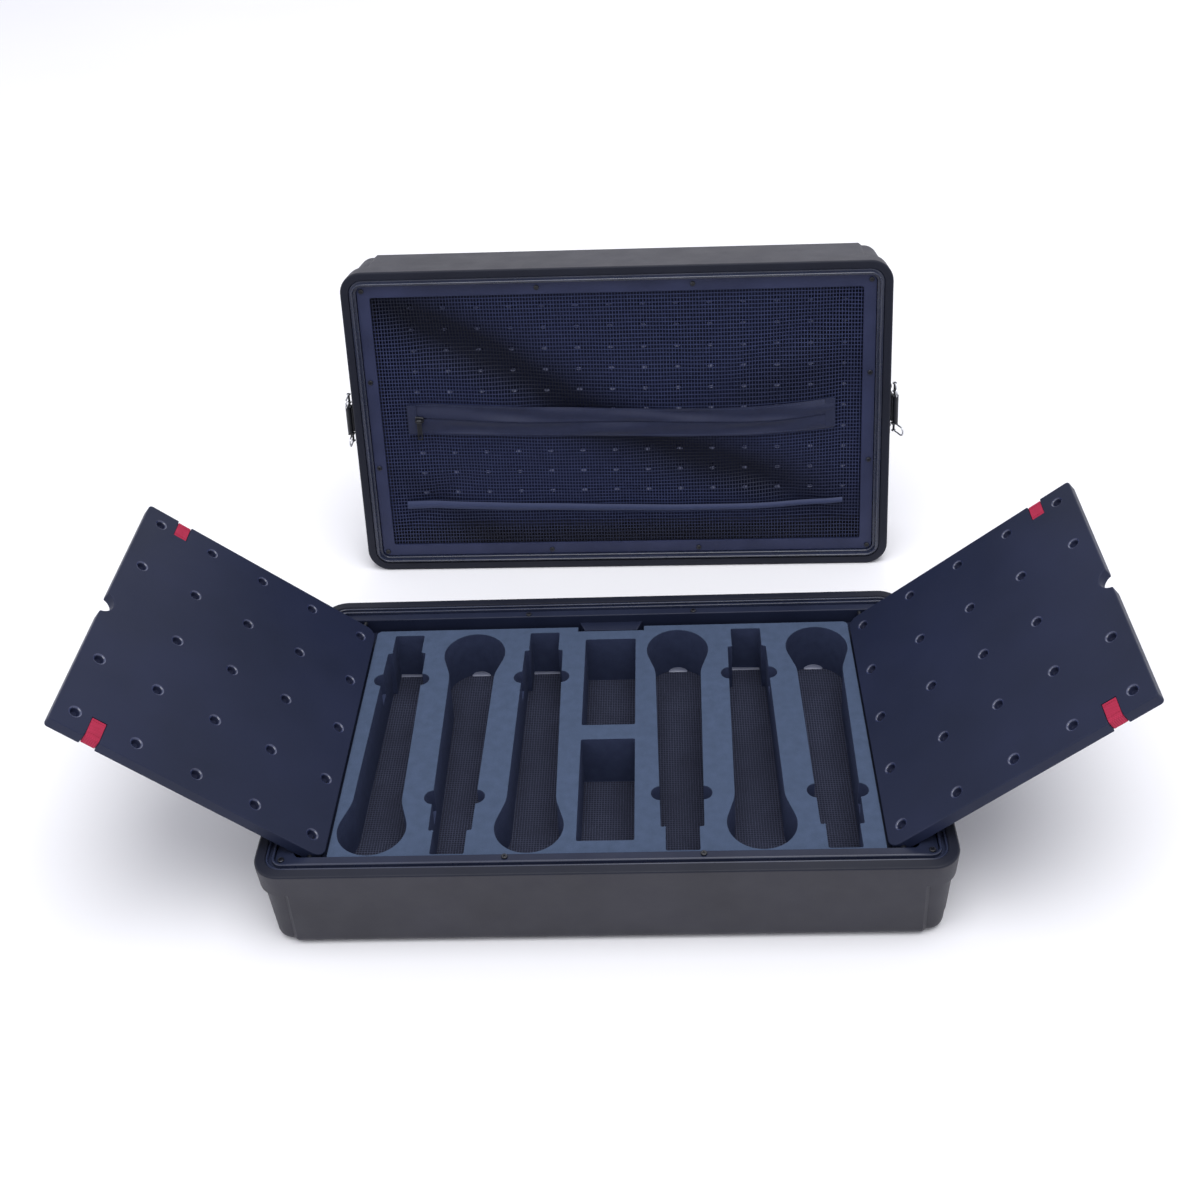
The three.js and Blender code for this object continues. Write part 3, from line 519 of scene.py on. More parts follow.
def pressed_grid(name, hollow, ridge, pitch):
    """A pad pressed by a wire tool: thin light ridges, a pitch apart, round small dark hollows."""
    made, tree, shader, where = new_finish(name, 0.85, 0.2)
    away = {}
    for i, wave in enumerate(waves(tree, where, pitch * MM)):
        away[i] = add_node(tree, "ShaderNodeMath", {0: wave}, operation="ABSOLUTE").outputs[0]
    nearest = add_node(tree, "ShaderNodeMath", away, operation="MINIMUM").outputs[0]
    limits = {"Value": nearest, "From Min": 0.25, "From Max": 0.55, "To Min": 1.0, "To Max": 0.0}
    edge = add_node(tree, "ShaderNodeMapRange", limits).outputs["Result"]
    dust = patches(tree, where, 40, 0.0, 0.45, 3.0)
    lay_tones(tree, shader, hollow, (edge, ridge), (dust, hollow))
    raise_relief(tree, shader, (patches(tree, where, 0.5, 0.0, 1.0), 0.1), (edge, 0.5))
    return made


# Fresh blade-cut top faces scatter light evenly, which gives the block its dusty blue.
foam_finish = cut_foam("Cross-linked polyethylene foam, skived", "#424f66", "#4e5c78")
# The slot walls and every face low in the slots are painted darker: painted shade in the slots.
wall_painted_shade = cut_foam("Cross-linked polyethylene foam, wall in painted shade", "#343c57", "#3f4866")
# The grid reads as fine light lines on a near-black pad.
GRID_PITCH = 2.4
pad_finish = pressed_grid("Polyurethane foam pad, pressed grid", "#252838", "#4b5067", GRID_PITCH)
# The pad's film turns up at the end of a slot; its pale tone is a painted highlight for its shine.
film_painted_highlight = moulded_plastic(
    "Polyurethane film, turned up, painted highlight", "#757a90", "#9398ad", 0.3, 0.8, 0.01, 0.5, 20
)
print("soft blocks:", foam_finish.name, "and", pad_finish.name)

# %% [markdown]
# ## Woven goods
# The net's thread, the zip's tape and the red tabs are woven. Their patterns run along the cloth, so they
# read the flat coordinates kept in each piece's own UV map. Yarns could be modelled one by one, as the
# net's threads are, but finer weaves would take millions of faces, so two crossed waves raise them.

# %% Woven finishes
def woven(name, dark, light, thread, relief, sheen=0.3, roughness=0.75, specular=0.3, shade=None):
    """Cloth: crossing threads in relief, a fuzz, a mottle from wear, and painted shade in the folds where a
    folds map is kept.

    The yarns of tape, net and sewing thread are drawn about twice as coarse as real ones, so that they show.
    """
    made, tree, shader, where = new_finish(name, roughness, specular)
    flat = add_node(tree, "ShaderNodeUVMap", uv_map="flat").outputs["UV"]
    rows = dict(enumerate(waves(tree, flat, thread)))
    weave = add_node(tree, "ShaderNodeMath", rows, operation="MULTIPLY").outputs[0]
    limits = {"Value": weave, "From Min": -0.8, "From Max": 0.8}
    height = add_node(tree, "ShaderNodeMapRange", limits).outputs["Result"]
    mottle = patches(tree, where, 6, 0.0, 0.4)
    layers = [(height, light), (mottle, dark)]
    # The folds map holds the share of painted shade.
    if shade is not None:
        folds = add_node(tree, "ShaderNodeUVMap", uv_map="folds").outputs["UV"]
        layers.append((add_node(tree, "ShaderNodeSeparateXYZ", {"Vector": folds}).outputs["X"], shade))
    lay_tones(tree, shader, dark, *layers)
    fuzz = patches(tree, where, 0.35, 0.0, 1.0, 2.0)
    raise_relief(tree, shader, (fuzz, relief * 0.4), (height, relief))
    shader.inputs["Sheen Weight"].default_value = sheen
    shader.inputs["Sheen Roughness"].default_value = 0.4
    shader.inputs["Sheen Tint"].default_value = colour(light)
    return made


# Flat webbing: thick threads that catch light in rows and stay vivid.
webbing_finish = woven("Woven polyester webbing, crimson", "#931b39", "#bf3054", 0.9, 0.12, 0.35)
# Sewing thread is finer and rounder than the webbing, so stitches read as a darker dotted line.
thread_finish = woven("Spun polyester thread, crimson", "#86182f", "#ab2a4c", 0.4, 0.05, 0.3)
# Zip tape is woven tight, so it shows a soft satin sheen in its bends.
tape_finish = woven("Woven polyester zip tape, navy", "#1b2038", "#272e4c", 0.45, 0.05, 0.3, 0.5, 0.35)
# Ribbed binding is painted paler than the tape, as painted light where it lies in the light, so it stands
# out from the tape and the net.
band_painted_light = woven("Polyester grosgrain binding, blue, painted light", "#293250", "#374064", 0.5, 0.05, 0.3, 0.55, 0.35)
# Net thread is bright where it is taut; in the folds it is painted dark, as painted shade.
net_finish = woven(
    "Knitted polyester net thread, navy, painted fold shade", "#1f2540", "#404a76", 0.3, 0.03, 0.25, 0.6, 0.3, shade="#0a0d1b"
)
print("woven:", webbing_finish.name, "and", net_finish.name)

# %% [markdown]
# ## Metals
# The latch plates and screws have a thin black coating that is rubbed in places. The wire links are bright
# plated steel. Scuffs could be painted by hand, but one noise that drives tone and shine together makes a
# rubbed spot both lighter and smoother, as on the real coat.

# %% Metal finishes
def coated_steel(name, coat, worn, roughness):
    """Coated steel: a dark skin, rubbed lighter and smoother in small scuffs."""
    made, tree, shader, where = new_finish(name, roughness, 0.5)
    scuffs = patches(tree, where, 3, 0.0, 1.0, 5.0, 0.6, 0.72)
    lay_tones(tree, shader, coat, (scuffs, worn))
    limits = {"Value": scuffs, "To Min": roughness, "To Max": roughness - 0.12}
    smooth = add_node(tree, "ShaderNodeMapRange", limits).outputs["Result"]
    tree.links.new(smooth, shader.inputs["Roughness"])
    raise_relief(tree, shader, (patches(tree, where, 0.5, 0.0, 1.0), 0.02))
    return made


def bright_plating(name, bright, dull):
    """Plated wire: near-mirror metal with a faint haze of handling."""
    made, tree, shader, where = new_finish(name, 0.16, 0.5, 1.0)
    haze = patches(tree, where, 4, 0.0, 1.0, 4.0)
    lay_tones(tree, shader, bright, (haze, dull))
    hazy = patches(tree, where, 4, 0.1, 0.28, 4.0)
    tree.links.new(hazy, shader.inputs["Roughness"])
    raise_relief(tree, shader, (patches(tree, where, 0.8, 0.0, 1.0, 2.0), 0.01))
    return made


# Powder coat hides the folds of the plates and leaves only short glints on their edges.
steel_finish = coated_steel("Powder-coated steel, black", "#101219", "#2b2f3c", 0.4)
# Screws are blackened in oil and show a small bright cross.
screw_finish = coated_steel("Black oxide steel screw", "#0d0f18", "#30364a", 0.36)
# Bright plating mirrors the pale studio, so the links are the lightest part of the case.
chrome_finish = bright_plating("Nickel-plated steel wire", "#d6d7da", "#b9bbbf")
print("metals:", steel_finish.name, "and", chrome_finish.name)

# %% [markdown]
# ## The two shells
# Both shells are the same moulding in two depths. Seen upside down, each is a plate with the rim's outline
# that grows up with drafted walls and a rounded closed face. Its four corners are set back below a band at
# the rim, which leaves a small step on each side of a corner. A box with bevelled edges would be quicker,
# but it has no draft and its rounds can't change with height, so the walls are grown level by level.

# %% Shape of a shell
BAND_START = 22
BAND_RUN = 5
SET_BACK = 3
CLOSED_ROUND = 10
LIP_ROUND = 2
LIP_WIDTH = 9
SAME_LEVEL = 0.05


def shell_piece(name, depth):
    """The moulding with its rim on z = 0 and its closed face up."""
    angle = math.radians(DRAFT_ANGLE)
    piece = rim_plate(name, LIP_ROUND * DRAFT, LIP_ROUND)
    height = LIP_ROUND
    for level in (BAND_START, BAND_START + SET_BACK, depth - CLOSED_ROUND * (1 - math.sin(angle))):
        step((level - height) * DRAFT, level - height)
        height = level
    turns = 6
    for i in range(turns):
        a = angle + (math.pi / 2 - angle) * i / turns
        b = angle + (math.pi / 2 - angle) * (i + 1) / turns
        step(CLOSED_ROUND * (math.cos(a) - math.cos(b)), CLOSED_ROUND * (math.sin(b) - math.sin(a)))
    pick("EDGE", lambda e: e.is_boundary)
    bpy.ops.mesh.edge_face_add()
    bpy.ops.mesh.select_all(action="SELECT")
    bpy.ops.mesh.normals_make_consistent(inside=False)
    pick("FACE", lambda f: f.calc_center_median().z < (LIP_ROUND + 0.01) * MM and f.normal.z < -0.9)
    for inset, rise in quarter_round(LIP_ROUND):
        step(inset, rise)
    step(LIP_WIDTH - LIP_ROUND - 0.8, 0)
    step(0.4, 0.1, -1)
    step(0.4, 0.6, -1)
    step(3, depth - 4.7, -1)
    return piece


def row_at(level):
    """The points of the piece in edit mode that lie at a level, in millimetres."""
    points = [v.co / MM for v in bmesh.from_edit_mesh(bpy.context.object.data).verts]
    return [p for p in points if abs(p.z - level) < SAME_LEVEL]


def set_corners_back(depth):
    """Cuts the walls beside each corner and moves the corners in, below the band."""
    centre_x = RIM_X - RIM_CORNER
    centre_y = RIM_Y - RIM_CORNER
    for gap in (BAND_RUN, BAND_RUN - SET_BACK):
        for side in (-1, 1):
            bpy.ops.mesh.select_all(action="SELECT")
            place = (side * (centre_x - gap) * MM, 0, 0)
            bpy.ops.mesh.bisect(plane_co=place, plane_no=(1, 0, 0))
            bpy.ops.mesh.select_all(action="SELECT")
            place = (0, side * (centre_y - gap) * MM, 0)
            bpy.ops.mesh.bisect(plane_co=place, plane_no=(0, 1, 0))
    reach_x = centre_x - BAND_RUN + SET_BACK - 0.1
    reach_y = centre_y - BAND_RUN + SET_BACK - 0.1
    moved = 0
    mesh = bmesh.from_edit_mesh(bpy.context.object.data)
    levels = sorted({round(v.co.z / MM, 2) for v in mesh.verts})
    for level in [z for z in levels if z > BAND_START + SET_BACK - 0.1]:
        for side_x in (-1, 1):
            for side_y in (-1, 1):
                row = row_at(level)
                wall_x = max(p.x for p in row)
                wall_y = max(p.y for p in row)
                radius = max(wall_x - centre_x, wall_y - centre_y, SET_BACK + 0.5)
                share = (radius - SET_BACK) / radius

                def at_corner(vert):
                    x, y, z = vert.co / MM
                    past = x * side_x > reach_x and y * side_y > reach_y
                    outer = max(x * side_x - wall_x, y * side_y - wall_y) > -RIM_CORNER * 0.35
                    return abs(z - level) < SAME_LEVEL and past and outer

                moved += pick("VERT", at_corner)
                pivot = (side_x * centre_x * MM, side_y * centre_y * MM, 0)
                bpy.ops.transform.resize(value=(share, share, 1), center_override=pivot)
    print("corner points set back:", moved)


# %% Base shell and lid shell
upside_down = turned(180, "X")
for name, depth, body, rim in (
    ("base_shell", BASE_HEIGHT, "base", base_place),
    ("lid_shell", LID_DEPTH, "lid", lid_place),
):
    piece = shell_piece(name + "_moulding", depth)
    set_corners_back(depth)
    object_mode()
    lip_faces = {face.index for face in piece.data.polygons if face.center.z < 1.6 * MM}
    finish(piece, shell_plastic, body, rim @ upside_down, [name], 28)
    second_finish(piece, rim_plastic, lambda face: face.index in lip_faces)
    print(piece.name, "faces:", len(piece.data.polygons))

# %% [markdown]
# ## Groove and tongue
# A dust seal runs round both rims: a groove between two ridges on the base, and a tongue on the lid that
# goes into it. A profile swept along a curve would do too, but it gets uneven at tight corners. So each
# ring starts as a plate, grows through its profile, loses its caps and is bridged underneath.

# %% Ring helpers and the two rings
def flat_ring(name, inset, opening_x, opening_y, low, high, soft=0.4):
    """A flat ring from the rim's outline, drawn in by inset, to a rounded opening."""
    piece = rim_plate(name, inset, low)
    step(0, high - low)
    object_mode()
    hole = rounded_plate("hole", opening_x, opening_y, 2.5, low - 1, segments=5)
    step(0, high - low + 2)
    object_mode()
    combine(piece, hole)
    return round_edges(piece, soft, 2, 50)


def ring_piece(name, inset, bottom, profile):
    """A ring with the rim's outline: the profile goes up from the bottom, inwards, and down again."""
    piece = rim_plate(name, inset, bottom)
    for inset_by, rise in profile:
        step(inset_by, rise)
    fallen = sum(rise for _, rise in profile)
    step(0, -fallen)
    pick("FACE", lambda f: abs(f.calc_center_median().z - bottom * MM) < 2e-6 and abs(f.normal.z) > 0.9)
    bpy.ops.mesh.delete(type="FACE")
    pick("EDGE", lambda e: e.is_boundary)
    bpy.ops.mesh.bridge_edge_loops()
    bpy.ops.mesh.select_all(action="SELECT")
    bpy.ops.mesh.normals_make_consistent(inside=False)
    return piece


SOFT = 0.45
groove_profile = [
    (0, 11 - SOFT),
    (SOFT, SOFT),
    (1.9 - 2 * SOFT, 0),
    (SOFT, -SOFT),
    (0.15, -3.0),
    (2.9, 0),
    (0.15, 3.0),
    (SOFT, SOFT),
    (1.9 - 2 * SOFT, 0),
    (SOFT, -SOFT),
    (0, -10.0),
]
groove_ring = ring_piece("groove_ring", 9.3, -12, groove_profile)
object_mode()
seat = flat_ring("seat", 15.8, RIM_X - 22.3, RIM_Y - 22.3, -8.8, -6.3)
groove_ring = join_pieces([groove_ring, seat], "groove_ring")
# The groove ring's lighter tone is a painted highlight on its ridges.
finish(groove_ring, ridge_painted_highlight, "base", base_place, ["base_groove_ring"])
tongue_profile = [
    (0, 11 - SOFT),
    (SOFT, SOFT),
    (2.15, 0),
    (0.2, 3.2),
    (0.5, 0.5),
    (0.5, 0),
    (0.5, -0.5),
    (0.2, -3.2),
    (2.05, 0),
    (SOFT, -SOFT),
    (0, -10.0),
]
tongue_ring = ring_piece("tongue_ring", 9.3, -12, tongue_profile)
object_mode()
seat = flat_ring("seat", 15.8, RIM_X - 28, RIM_Y - 28, -9.8, -7.3)
tongue_ring = join_pieces([tongue_ring, seat], "tongue_ring")
# The tongue ring has the same finish, with its painted highlight.
finish(tongue_ring, ridge_painted_highlight, "lid", lid_place, ["lid_tongue_ring"])
print("rings:", len(groove_ring.data.polygons), len(tongue_ring.data.polygons))

# %% [markdown]
# ## Tray liner
# A formed sheet drops into the base: a flat flange, an opening, a shelf in a trough along each side for
# the hinge rods, and a deeper middle for the foam. A tapered rest at the back carries the closed covers.
# It could be grown as one skin, but blocks that are joined and cut give every hollow its own plain size.

# %% Liner body and hollows
REST_HALF = 31
REST_TOP = 71.8


def slab(name, half_x, half_y, corner, low, high, segments=6):
    """A block with rounded corners between two heights."""
    piece = rounded_plate(name, half_x, half_y, corner, low, segments=segments)
    step(0, high - low)
    object_mode()
    return piece


def cover_rest():
    """The tapered rest at the middle of the back."""
    piece = box("rest", (-REST_HALF, REST_HALF), (139.5, 152.75), (REST_TOP - 12, REST_TOP))
    edit(piece)
    pick("VERT", lambda v: v.co.y < 0.145)
    bpy.ops.transform.resize(value=(25 / REST_HALF, 1, 1), center_override=(0, 0, 0))
    object_mode()
    return piece


FOAM_X = 228.97
SHELF_TOP = 65.17
liner = rim_plate("tray_liner_sheet", 16.6, FLANGE_TOP - 2.5)
step(0, 2.5)
object_mode()
combine(liner, slab("tub", OPENING_X + 2.5, OPENING_Y + 2.5, 7.5, SHELF_TOP - 2.5, 79.5), "UNION")
combine(liner, slab("well", FOAM_X + 2.9, OPENING_Y + 2.5, 7.5, 4.3, 79), "UNION")
combine(liner, slab("hollow", OPENING_X, OPENING_Y, 5, SHELF_TOP, 90))
combine(liner, slab("deep", FOAM_X + 0.4, OPENING_Y, 5, 6.8, 90))
combine(liner, cover_rest(), "UNION")
edit(liner)
found = pick("EDGE", lambda e: is_sharp(e, 50) and middle(e).z > FLANGE_TOP - 0.1)
bpy.ops.mesh.bevel(offset=1.1 * MM, segments=3, affect="EDGES")
print("flange edges rounded:", found)
found = pick("EDGE", lambda e: is_sharp(e, 50) and abs(middle(e).z - REST_TOP) < 0.1)
bpy.ops.mesh.bevel(offset=1.0 * MM, segments=2, affect="EDGES")
finish(liner, liner_plastic, "base", None, ["tray_liner"], 30)

# %% [markdown]
# ## Foam block
# The foam takes six handheld microphones, turned head to tail, and two square pockets between them. A
# blade cuts each outline straight down, and two round cuts beside each tail let fingers in. One tool with a
# slot's outline is modelled once and copied, because a boolean leaves the same straight walls as the blade.

# %% The tool that cuts one microphone slot
FOAM_TOP = 71.9
FOAM_LOW = 21.9
FOAM_SHIFT = -2.5
HEAD_RADIUS = 29
HEAD_Y = -111
NECK_Y = -81
NECK_HALF = 21
SHAFT_END = 114
SHAFT_END_HALF = 18
TAIL_HALF = 14
TAIL_END = 140
FINGER_RADIUS = 8
FINGER_Y = 76
FINGER_DEPTH = 24


def slot_tool(name):
    """The slot's outline as a block: round head at -Y, straight neck, waisted shaft, narrow tail at +Y."""
    low, high = FOAM_LOW - 1, FOAM_TOP + 1
    reach = math.hypot(NECK_HALF, NECK_Y - HEAD_Y)
    touch = math.atan2(NECK_Y - HEAD_Y, NECK_HALF) - math.acos(HEAD_RADIUS / reach)
    touch_half, touch_y = HEAD_RADIUS * math.cos(touch), HEAD_Y + HEAD_RADIUS * math.sin(touch)
    head = rod(name, HEAD_RADIUS, (0, HEAD_Y, low), (0, HEAD_Y, high), 96)
    shaft_half, shaft_middle = (SHAFT_END - NECK_Y) / 2, (SHAFT_END + NECK_Y) / 2
    shaft = rounded_plate("shaft", NECK_HALF, shaft_half, 0, low, (0, shaft_middle))
    pick("VERT", lambda v: v.co.y > 0.1)
    bpy.ops.transform.resize(value=(SHAFT_END_HALF / NECK_HALF, 1, 1), center_override=(0, 0, 0))
    pick("EDGE", lambda e: middle(e).y < NECK_Y + 0.1)
    move = (0, (touch_y - NECK_Y) * MM, 0)
    bpy.ops.mesh.extrude_region_move(TRANSFORM_OT_translate={"value": move})
    bpy.ops.transform.resize(value=(touch_half / NECK_HALF, 1, 1), center_override=(0, 0, 0))
    pick("FACE", lambda f: True)
    step(0, high - low)
    bpy.ops.mesh.select_all(action="SELECT")
    bpy.ops.mesh.normals_make_consistent(inside=False)
    object_mode()
    combine(head, shaft, "UNION")
    edit(head)
    pick("EDGE", lambda e: is_upright(e) and is_sharp(e, 8) and abs(middle(e).y - NECK_Y) < 1)
    bpy.ops.mesh.bevel(offset=5 * MM, segments=4, affect="EDGES")
    object_mode()
    combine(head, box("tail", (-TAIL_HALF, TAIL_HALF), (100, TAIL_END), (low, high)), "UNION")
    edit(head)
    pick("EDGE", lambda e: is_upright(e) and is_sharp(e, 40) and middle(e).y > 100)
    bpy.ops.mesh.bevel(offset=1.5 * MM, segments=3, affect="EDGES")
    object_mode()
    for side in (-1, 1):
        x = side * SHAFT_END_HALF
        start = (x, FINGER_Y, FOAM_TOP - FINGER_DEPTH)
        combine(head, rod("finger", FINGER_RADIUS, start, (x, FINGER_Y, high), 32), "UNION")
    return head


one_slot = slot_tool("slot_tool")
slots = []
slot_places = ((-196, -1), (-130, 1), (-64, -1), (64, 1), (130, -1), (196, 1))
for x, head in slot_places:
    turn = turned(180, "Z") if head > 0 else Matrix.Identity(4)
    slots.append(copy_of(one_slot, "slot", shifted(x, FOAM_SHIFT, 0) @ turn))
bpy.data.objects.remove(one_slot, do_unlink=True)
print("slots:", len(slots))

# %% Cut the block
FOAM_Y = 147.5
POCKET_HALF = 24
POCKET_NEAR = 9.25
POCKET_FAR = 128.25
foam = rounded_plate("foam_block", FOAM_X, FOAM_Y, 5, FOAM_LOW, (0, FOAM_SHIFT), 6)
step(0, FOAM_TOP - FOAM_LOW)
object_mode()
tools = list(slots)
for side in (-1, 1):
    span = sorted((FOAM_SHIFT + side * POCKET_NEAR, FOAM_SHIFT + side * POCKET_FAR))
    tool = box("pocket", (-POCKET_HALF, POCKET_HALF), span, (FOAM_LOW - 1, FOAM_TOP + 1))
    round_edges(tool, 1.5, 2)
    tools.append(tool)
tools.append(box("rest_cut", (-REST_HALF - 1, REST_HALF + 1), (138.5, 153), (58.8, 73)))
combine(foam, join_pieces(tools, "foam_tools"))
edit(foam)
found = pick("EDGE", lambda e: is_sharp(e, 50) and middle(e).z > FOAM_TOP - 0.05)
bpy.ops.mesh.bevel(offset=0.7 * MM, segments=2, affect="EDGES")
print("foam top edges softened:", found)
finish(foam, foam_finish, "base", None, ["foam_insert"], 35)
# The walls and every face low in the slots take the darker finish, which is painted shade.
below = (FOAM_TOP - 5) * MM
walls = second_finish(foam, wall_painted_shade, lambda f: abs(f.normal.z) < 0.3 or f.center.z < below)
print("wall faces in the slots:", walls)

# %% Pad under the foam, and its film turned up at the back of each slot
PAD_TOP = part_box("foam_base_pad")[1].z / MM


def turned_up_film(x, head):
    """A short cove of the pad's film against the back wall of a slot, highest at its middle."""
    half = 9 if head > 0 else 13.6
    bpy.ops.mesh.primitive_grid_add(x_subdivisions=16, y_subdivisions=6, size=2)
    piece = bpy.context.object
    for vertex in piece.data.vertices:
        across, share = vertex.co.x, (vertex.co.y + 1) / 2
        full = math.sqrt(1 - 0.92 * across * across) if head > 0 else 0.65 - 0.15 * (across + 1) / 2
        wall = FOAM_SHIFT + TAIL_END
        if head > 0:
            wall += math.sqrt(HEAD_RADIUS**2 - (across * half) ** 2) - HEAD_RADIUS
        turn = share * math.pi / 2
        vertex.co.x = (x + across * half) * MM
        vertex.co.y = (wall - 0.4 - 3.0 * full * (1 - math.sin(turn))) * MM
        vertex.co.z = (PAD_TOP - 0.4 + 4.4 * full * (1 - math.cos(turn))) * MM
    return thicken(piece, 0.3, -1)


pad = rounded_plate("grid_pad", FOAM_X, FOAM_Y, 5, 7.1, (0, FOAM_SHIFT), 6)
step(0, 14)
step(0.5, 0.5)
object_mode()
pad_faces = len(pad.data.polygons)
# The film turned up at the back of each slot has a pale finish, which is a painted highlight.
pad = join_pieces([pad] + [turned_up_film(x, head) for x, head in slot_places], "grid_pad")
finish(pad, pad_finish, "base", None, ["foam_base_pad"])
painted_faces = second_finish(pad, film_painted_highlight, lambda face: face.index >= pad_faces)
print("pad top at", round(PAD_TOP, 1), "mm, film faces:", painted_faces)

# %% [markdown]
# ## Cover panels
# Each cover is a stiff formed panel with soft edges, a finger notch in its free edge, and rows of round
# dimples. It is modelled in the frame of its hinge rod, with X running to the free edge, and the second
# cover is its mirror. Dimples pushed up from a fine grid would need many faces all over, so the panel stays
# plain and one joined tool cuts all bowls at once.

# %% Panel outline, notch and edges
WING_LENGTH = 250.75
WING_TAIL = 10.5
FREE = WING_LENGTH - WING_TAIL
TAB_X = FREE - 38
TAB_SEAT = (TAB_X - 6.75, TAB_X + 6.75)
PANEL_HALF = 5
NOTCH_RADIUS = 11.7
NOTCH_DEPTH = 9.5


def panel_body(name):
    """The plain panel with its finger notch and the notches for the tabs."""
    piece = rounded_plate(name, WING_LENGTH / 2, 145, 0, -PANEL_HALF, (WING_LENGTH / 2 - WING_TAIL, 0))
    pick("VERT", lambda v: v.co.x < 0)
    bpy.ops.mesh.bevel(affect="VERTICES", offset=10 * MM, segments=8, profile=0.5)
    pick("VERT", lambda v: v.co.x > FREE * MM - 1e-6)
    bpy.ops.mesh.bevel(affect="VERTICES", offset=3.5 * MM, segments=5, profile=0.5)
    bpy.ops.mesh.select_all(action="SELECT")
    step(0, 2 * PANEL_HALF)
    object_mode()
    notch_x = FREE - NOTCH_DEPTH + NOTCH_RADIUS
    combine(piece, rod("notch", NOTCH_RADIUS, (notch_x, 0, -9), (notch_x, 0, 9), 48))
    edit(piece)
    pick("EDGE", lambda e: is_upright(e) and is_sharp(e, 25) and abs(middle(e).y) < 15)
    bpy.ops.mesh.bevel(offset=3 * MM, segments=4, affect="EDGES")
    object_mode()
    for side in (-1, 1):
        edge = sorted((side * 142.5, side * 150))
        combine(piece, box("tab_notch", TAB_SEAT, edge, (-9, 9)))
    round_edges(piece, 1.7, 3, 40)
    return piece


panel = panel_body("cover_panel")
print("panel faces before the dimples:", len(panel.data.polygons))

# %% Dimples and tab seats
DIMPLE_FIRST = 14.7
DIMPLE_X = 54.7
DIMPLE_Y = 63.5
# The radius and height of each ring of a dimple, from its floor to its lip.
DIMPLE_FLOOR = (1.1, -4.2)
DIMPLE_RINGS = ((2.5, -4.0), (3.2, -3.2), (3.6, -1.6), (4.2, -0.8), (5.0, -0.2), (5.7, 0.02), (5.7, 0.6))


def dimple_tool(x, y, top):
    """A bowl with a soft lip, grown from a small disc."""
    radius, height = DIMPLE_FLOOR
    bpy.ops.mesh.primitive_circle_add(vertices=20, radius=radius * MM, fill_type="NGON")
    piece = bpy.context.object
    bpy.ops.object.mode_set(mode="EDIT")
    bpy.ops.mesh.select_all(action="SELECT")
    bpy.ops.transform.translate(value=(x * MM, y * MM, (top + height) * MM))
    for next_radius, next_height in DIMPLE_RINGS:
        rise = (0, 0, (next_height - height) * MM)
        bpy.ops.mesh.extrude_region_move(TRANSFORM_OT_translate={"value": rise})
        grow = next_radius / radius
        bpy.ops.transform.resize(value=(grow, grow, 1), center_override=(x * MM, y * MM, 0))
        radius, height = next_radius, next_height
    bpy.ops.mesh.select_all(action="SELECT")
    bpy.ops.mesh.normals_make_consistent(inside=False)
    bpy.ops.object.mode_set(mode="OBJECT")
    return piece


dimples = []
for column in range(5):
    for row in range(-2, 3):
        if row == 0 and column == 4:
            continue
        x = DIMPLE_FIRST - WING_TAIL + DIMPLE_X * column
        dimples.append(dimple_tool(x, DIMPLE_Y * row, PANEL_HALF))
combine(panel, join_pieces(dimples, "dimple_tools"))
for side in (-1, 1):
    for low, high in ((3.2, 7), (-7, -3.2)):
        edge = sorted((side * 123.5, side * 146))
        combine(panel, box("tab_seat", TAB_SEAT, edge, (low, high)))
combine(panel, rod("rod_bore", 2.1, (0, -150, 0), (0, 150, 0), 20))
keep_flat_uv(panel)
# The lips round each dimple get a lighter finish, a painted glint, and the bowls a darker one, painted
# shade.
painted_glint_lips, painted_shade_bowls = set(), set()
for face in panel.data.polygons:
    column = (face.center.x / MM - DIMPLE_FIRST + WING_TAIL) / DIMPLE_X
    row = face.center.y / MM / DIMPLE_Y
    away = math.hypot((column - round(column)) * DIMPLE_X, (row - round(row)) * DIMPLE_Y)
    if face.area < 4e-6 and face.normal.z > 0.02 and away < 6:
        if 3.9 < away and face.normal.z < 0.98 and face.center.z > 3.3 * MM:
            painted_glint_lips.add(face.index)
        if away < 3.9 and 0.4 * MM < face.center.z:
            painted_shade_bowls.add(face.index)
print("panel faces:", len(panel.data.polygons))
print("of them dimple lips:", len(painted_glint_lips), "and bowls:", len(painted_shade_bowls))

# %% The two covers
for side in ("left", "right"):
    cover = copy_of(panel, "cover_panel_" + side)
    finish(cover, panel_plastic, "cover_" + side, cover_place[side], ["wing_" + side], 30)
    second_finish(cover, lip_painted_glint, lambda face: face.index in painted_glint_lips)
    second_finish(cover, painted_shade_plastic, lambda face: face.index in painted_shade_bowls)
    print(cover.name, "triangles:", sum(len(p.vertices) - 2 for p in cover.data.polygons))
bpy.data.objects.remove(panel, do_unlink=True)

# %% [markdown]
# ## Red tabs
# Four short webbing tabs are folded round the panels' edges and stitched. A folded strip could be cut from
# a block, but drawn along its path with extrudes and then thickened it has an even thickness in its bends.

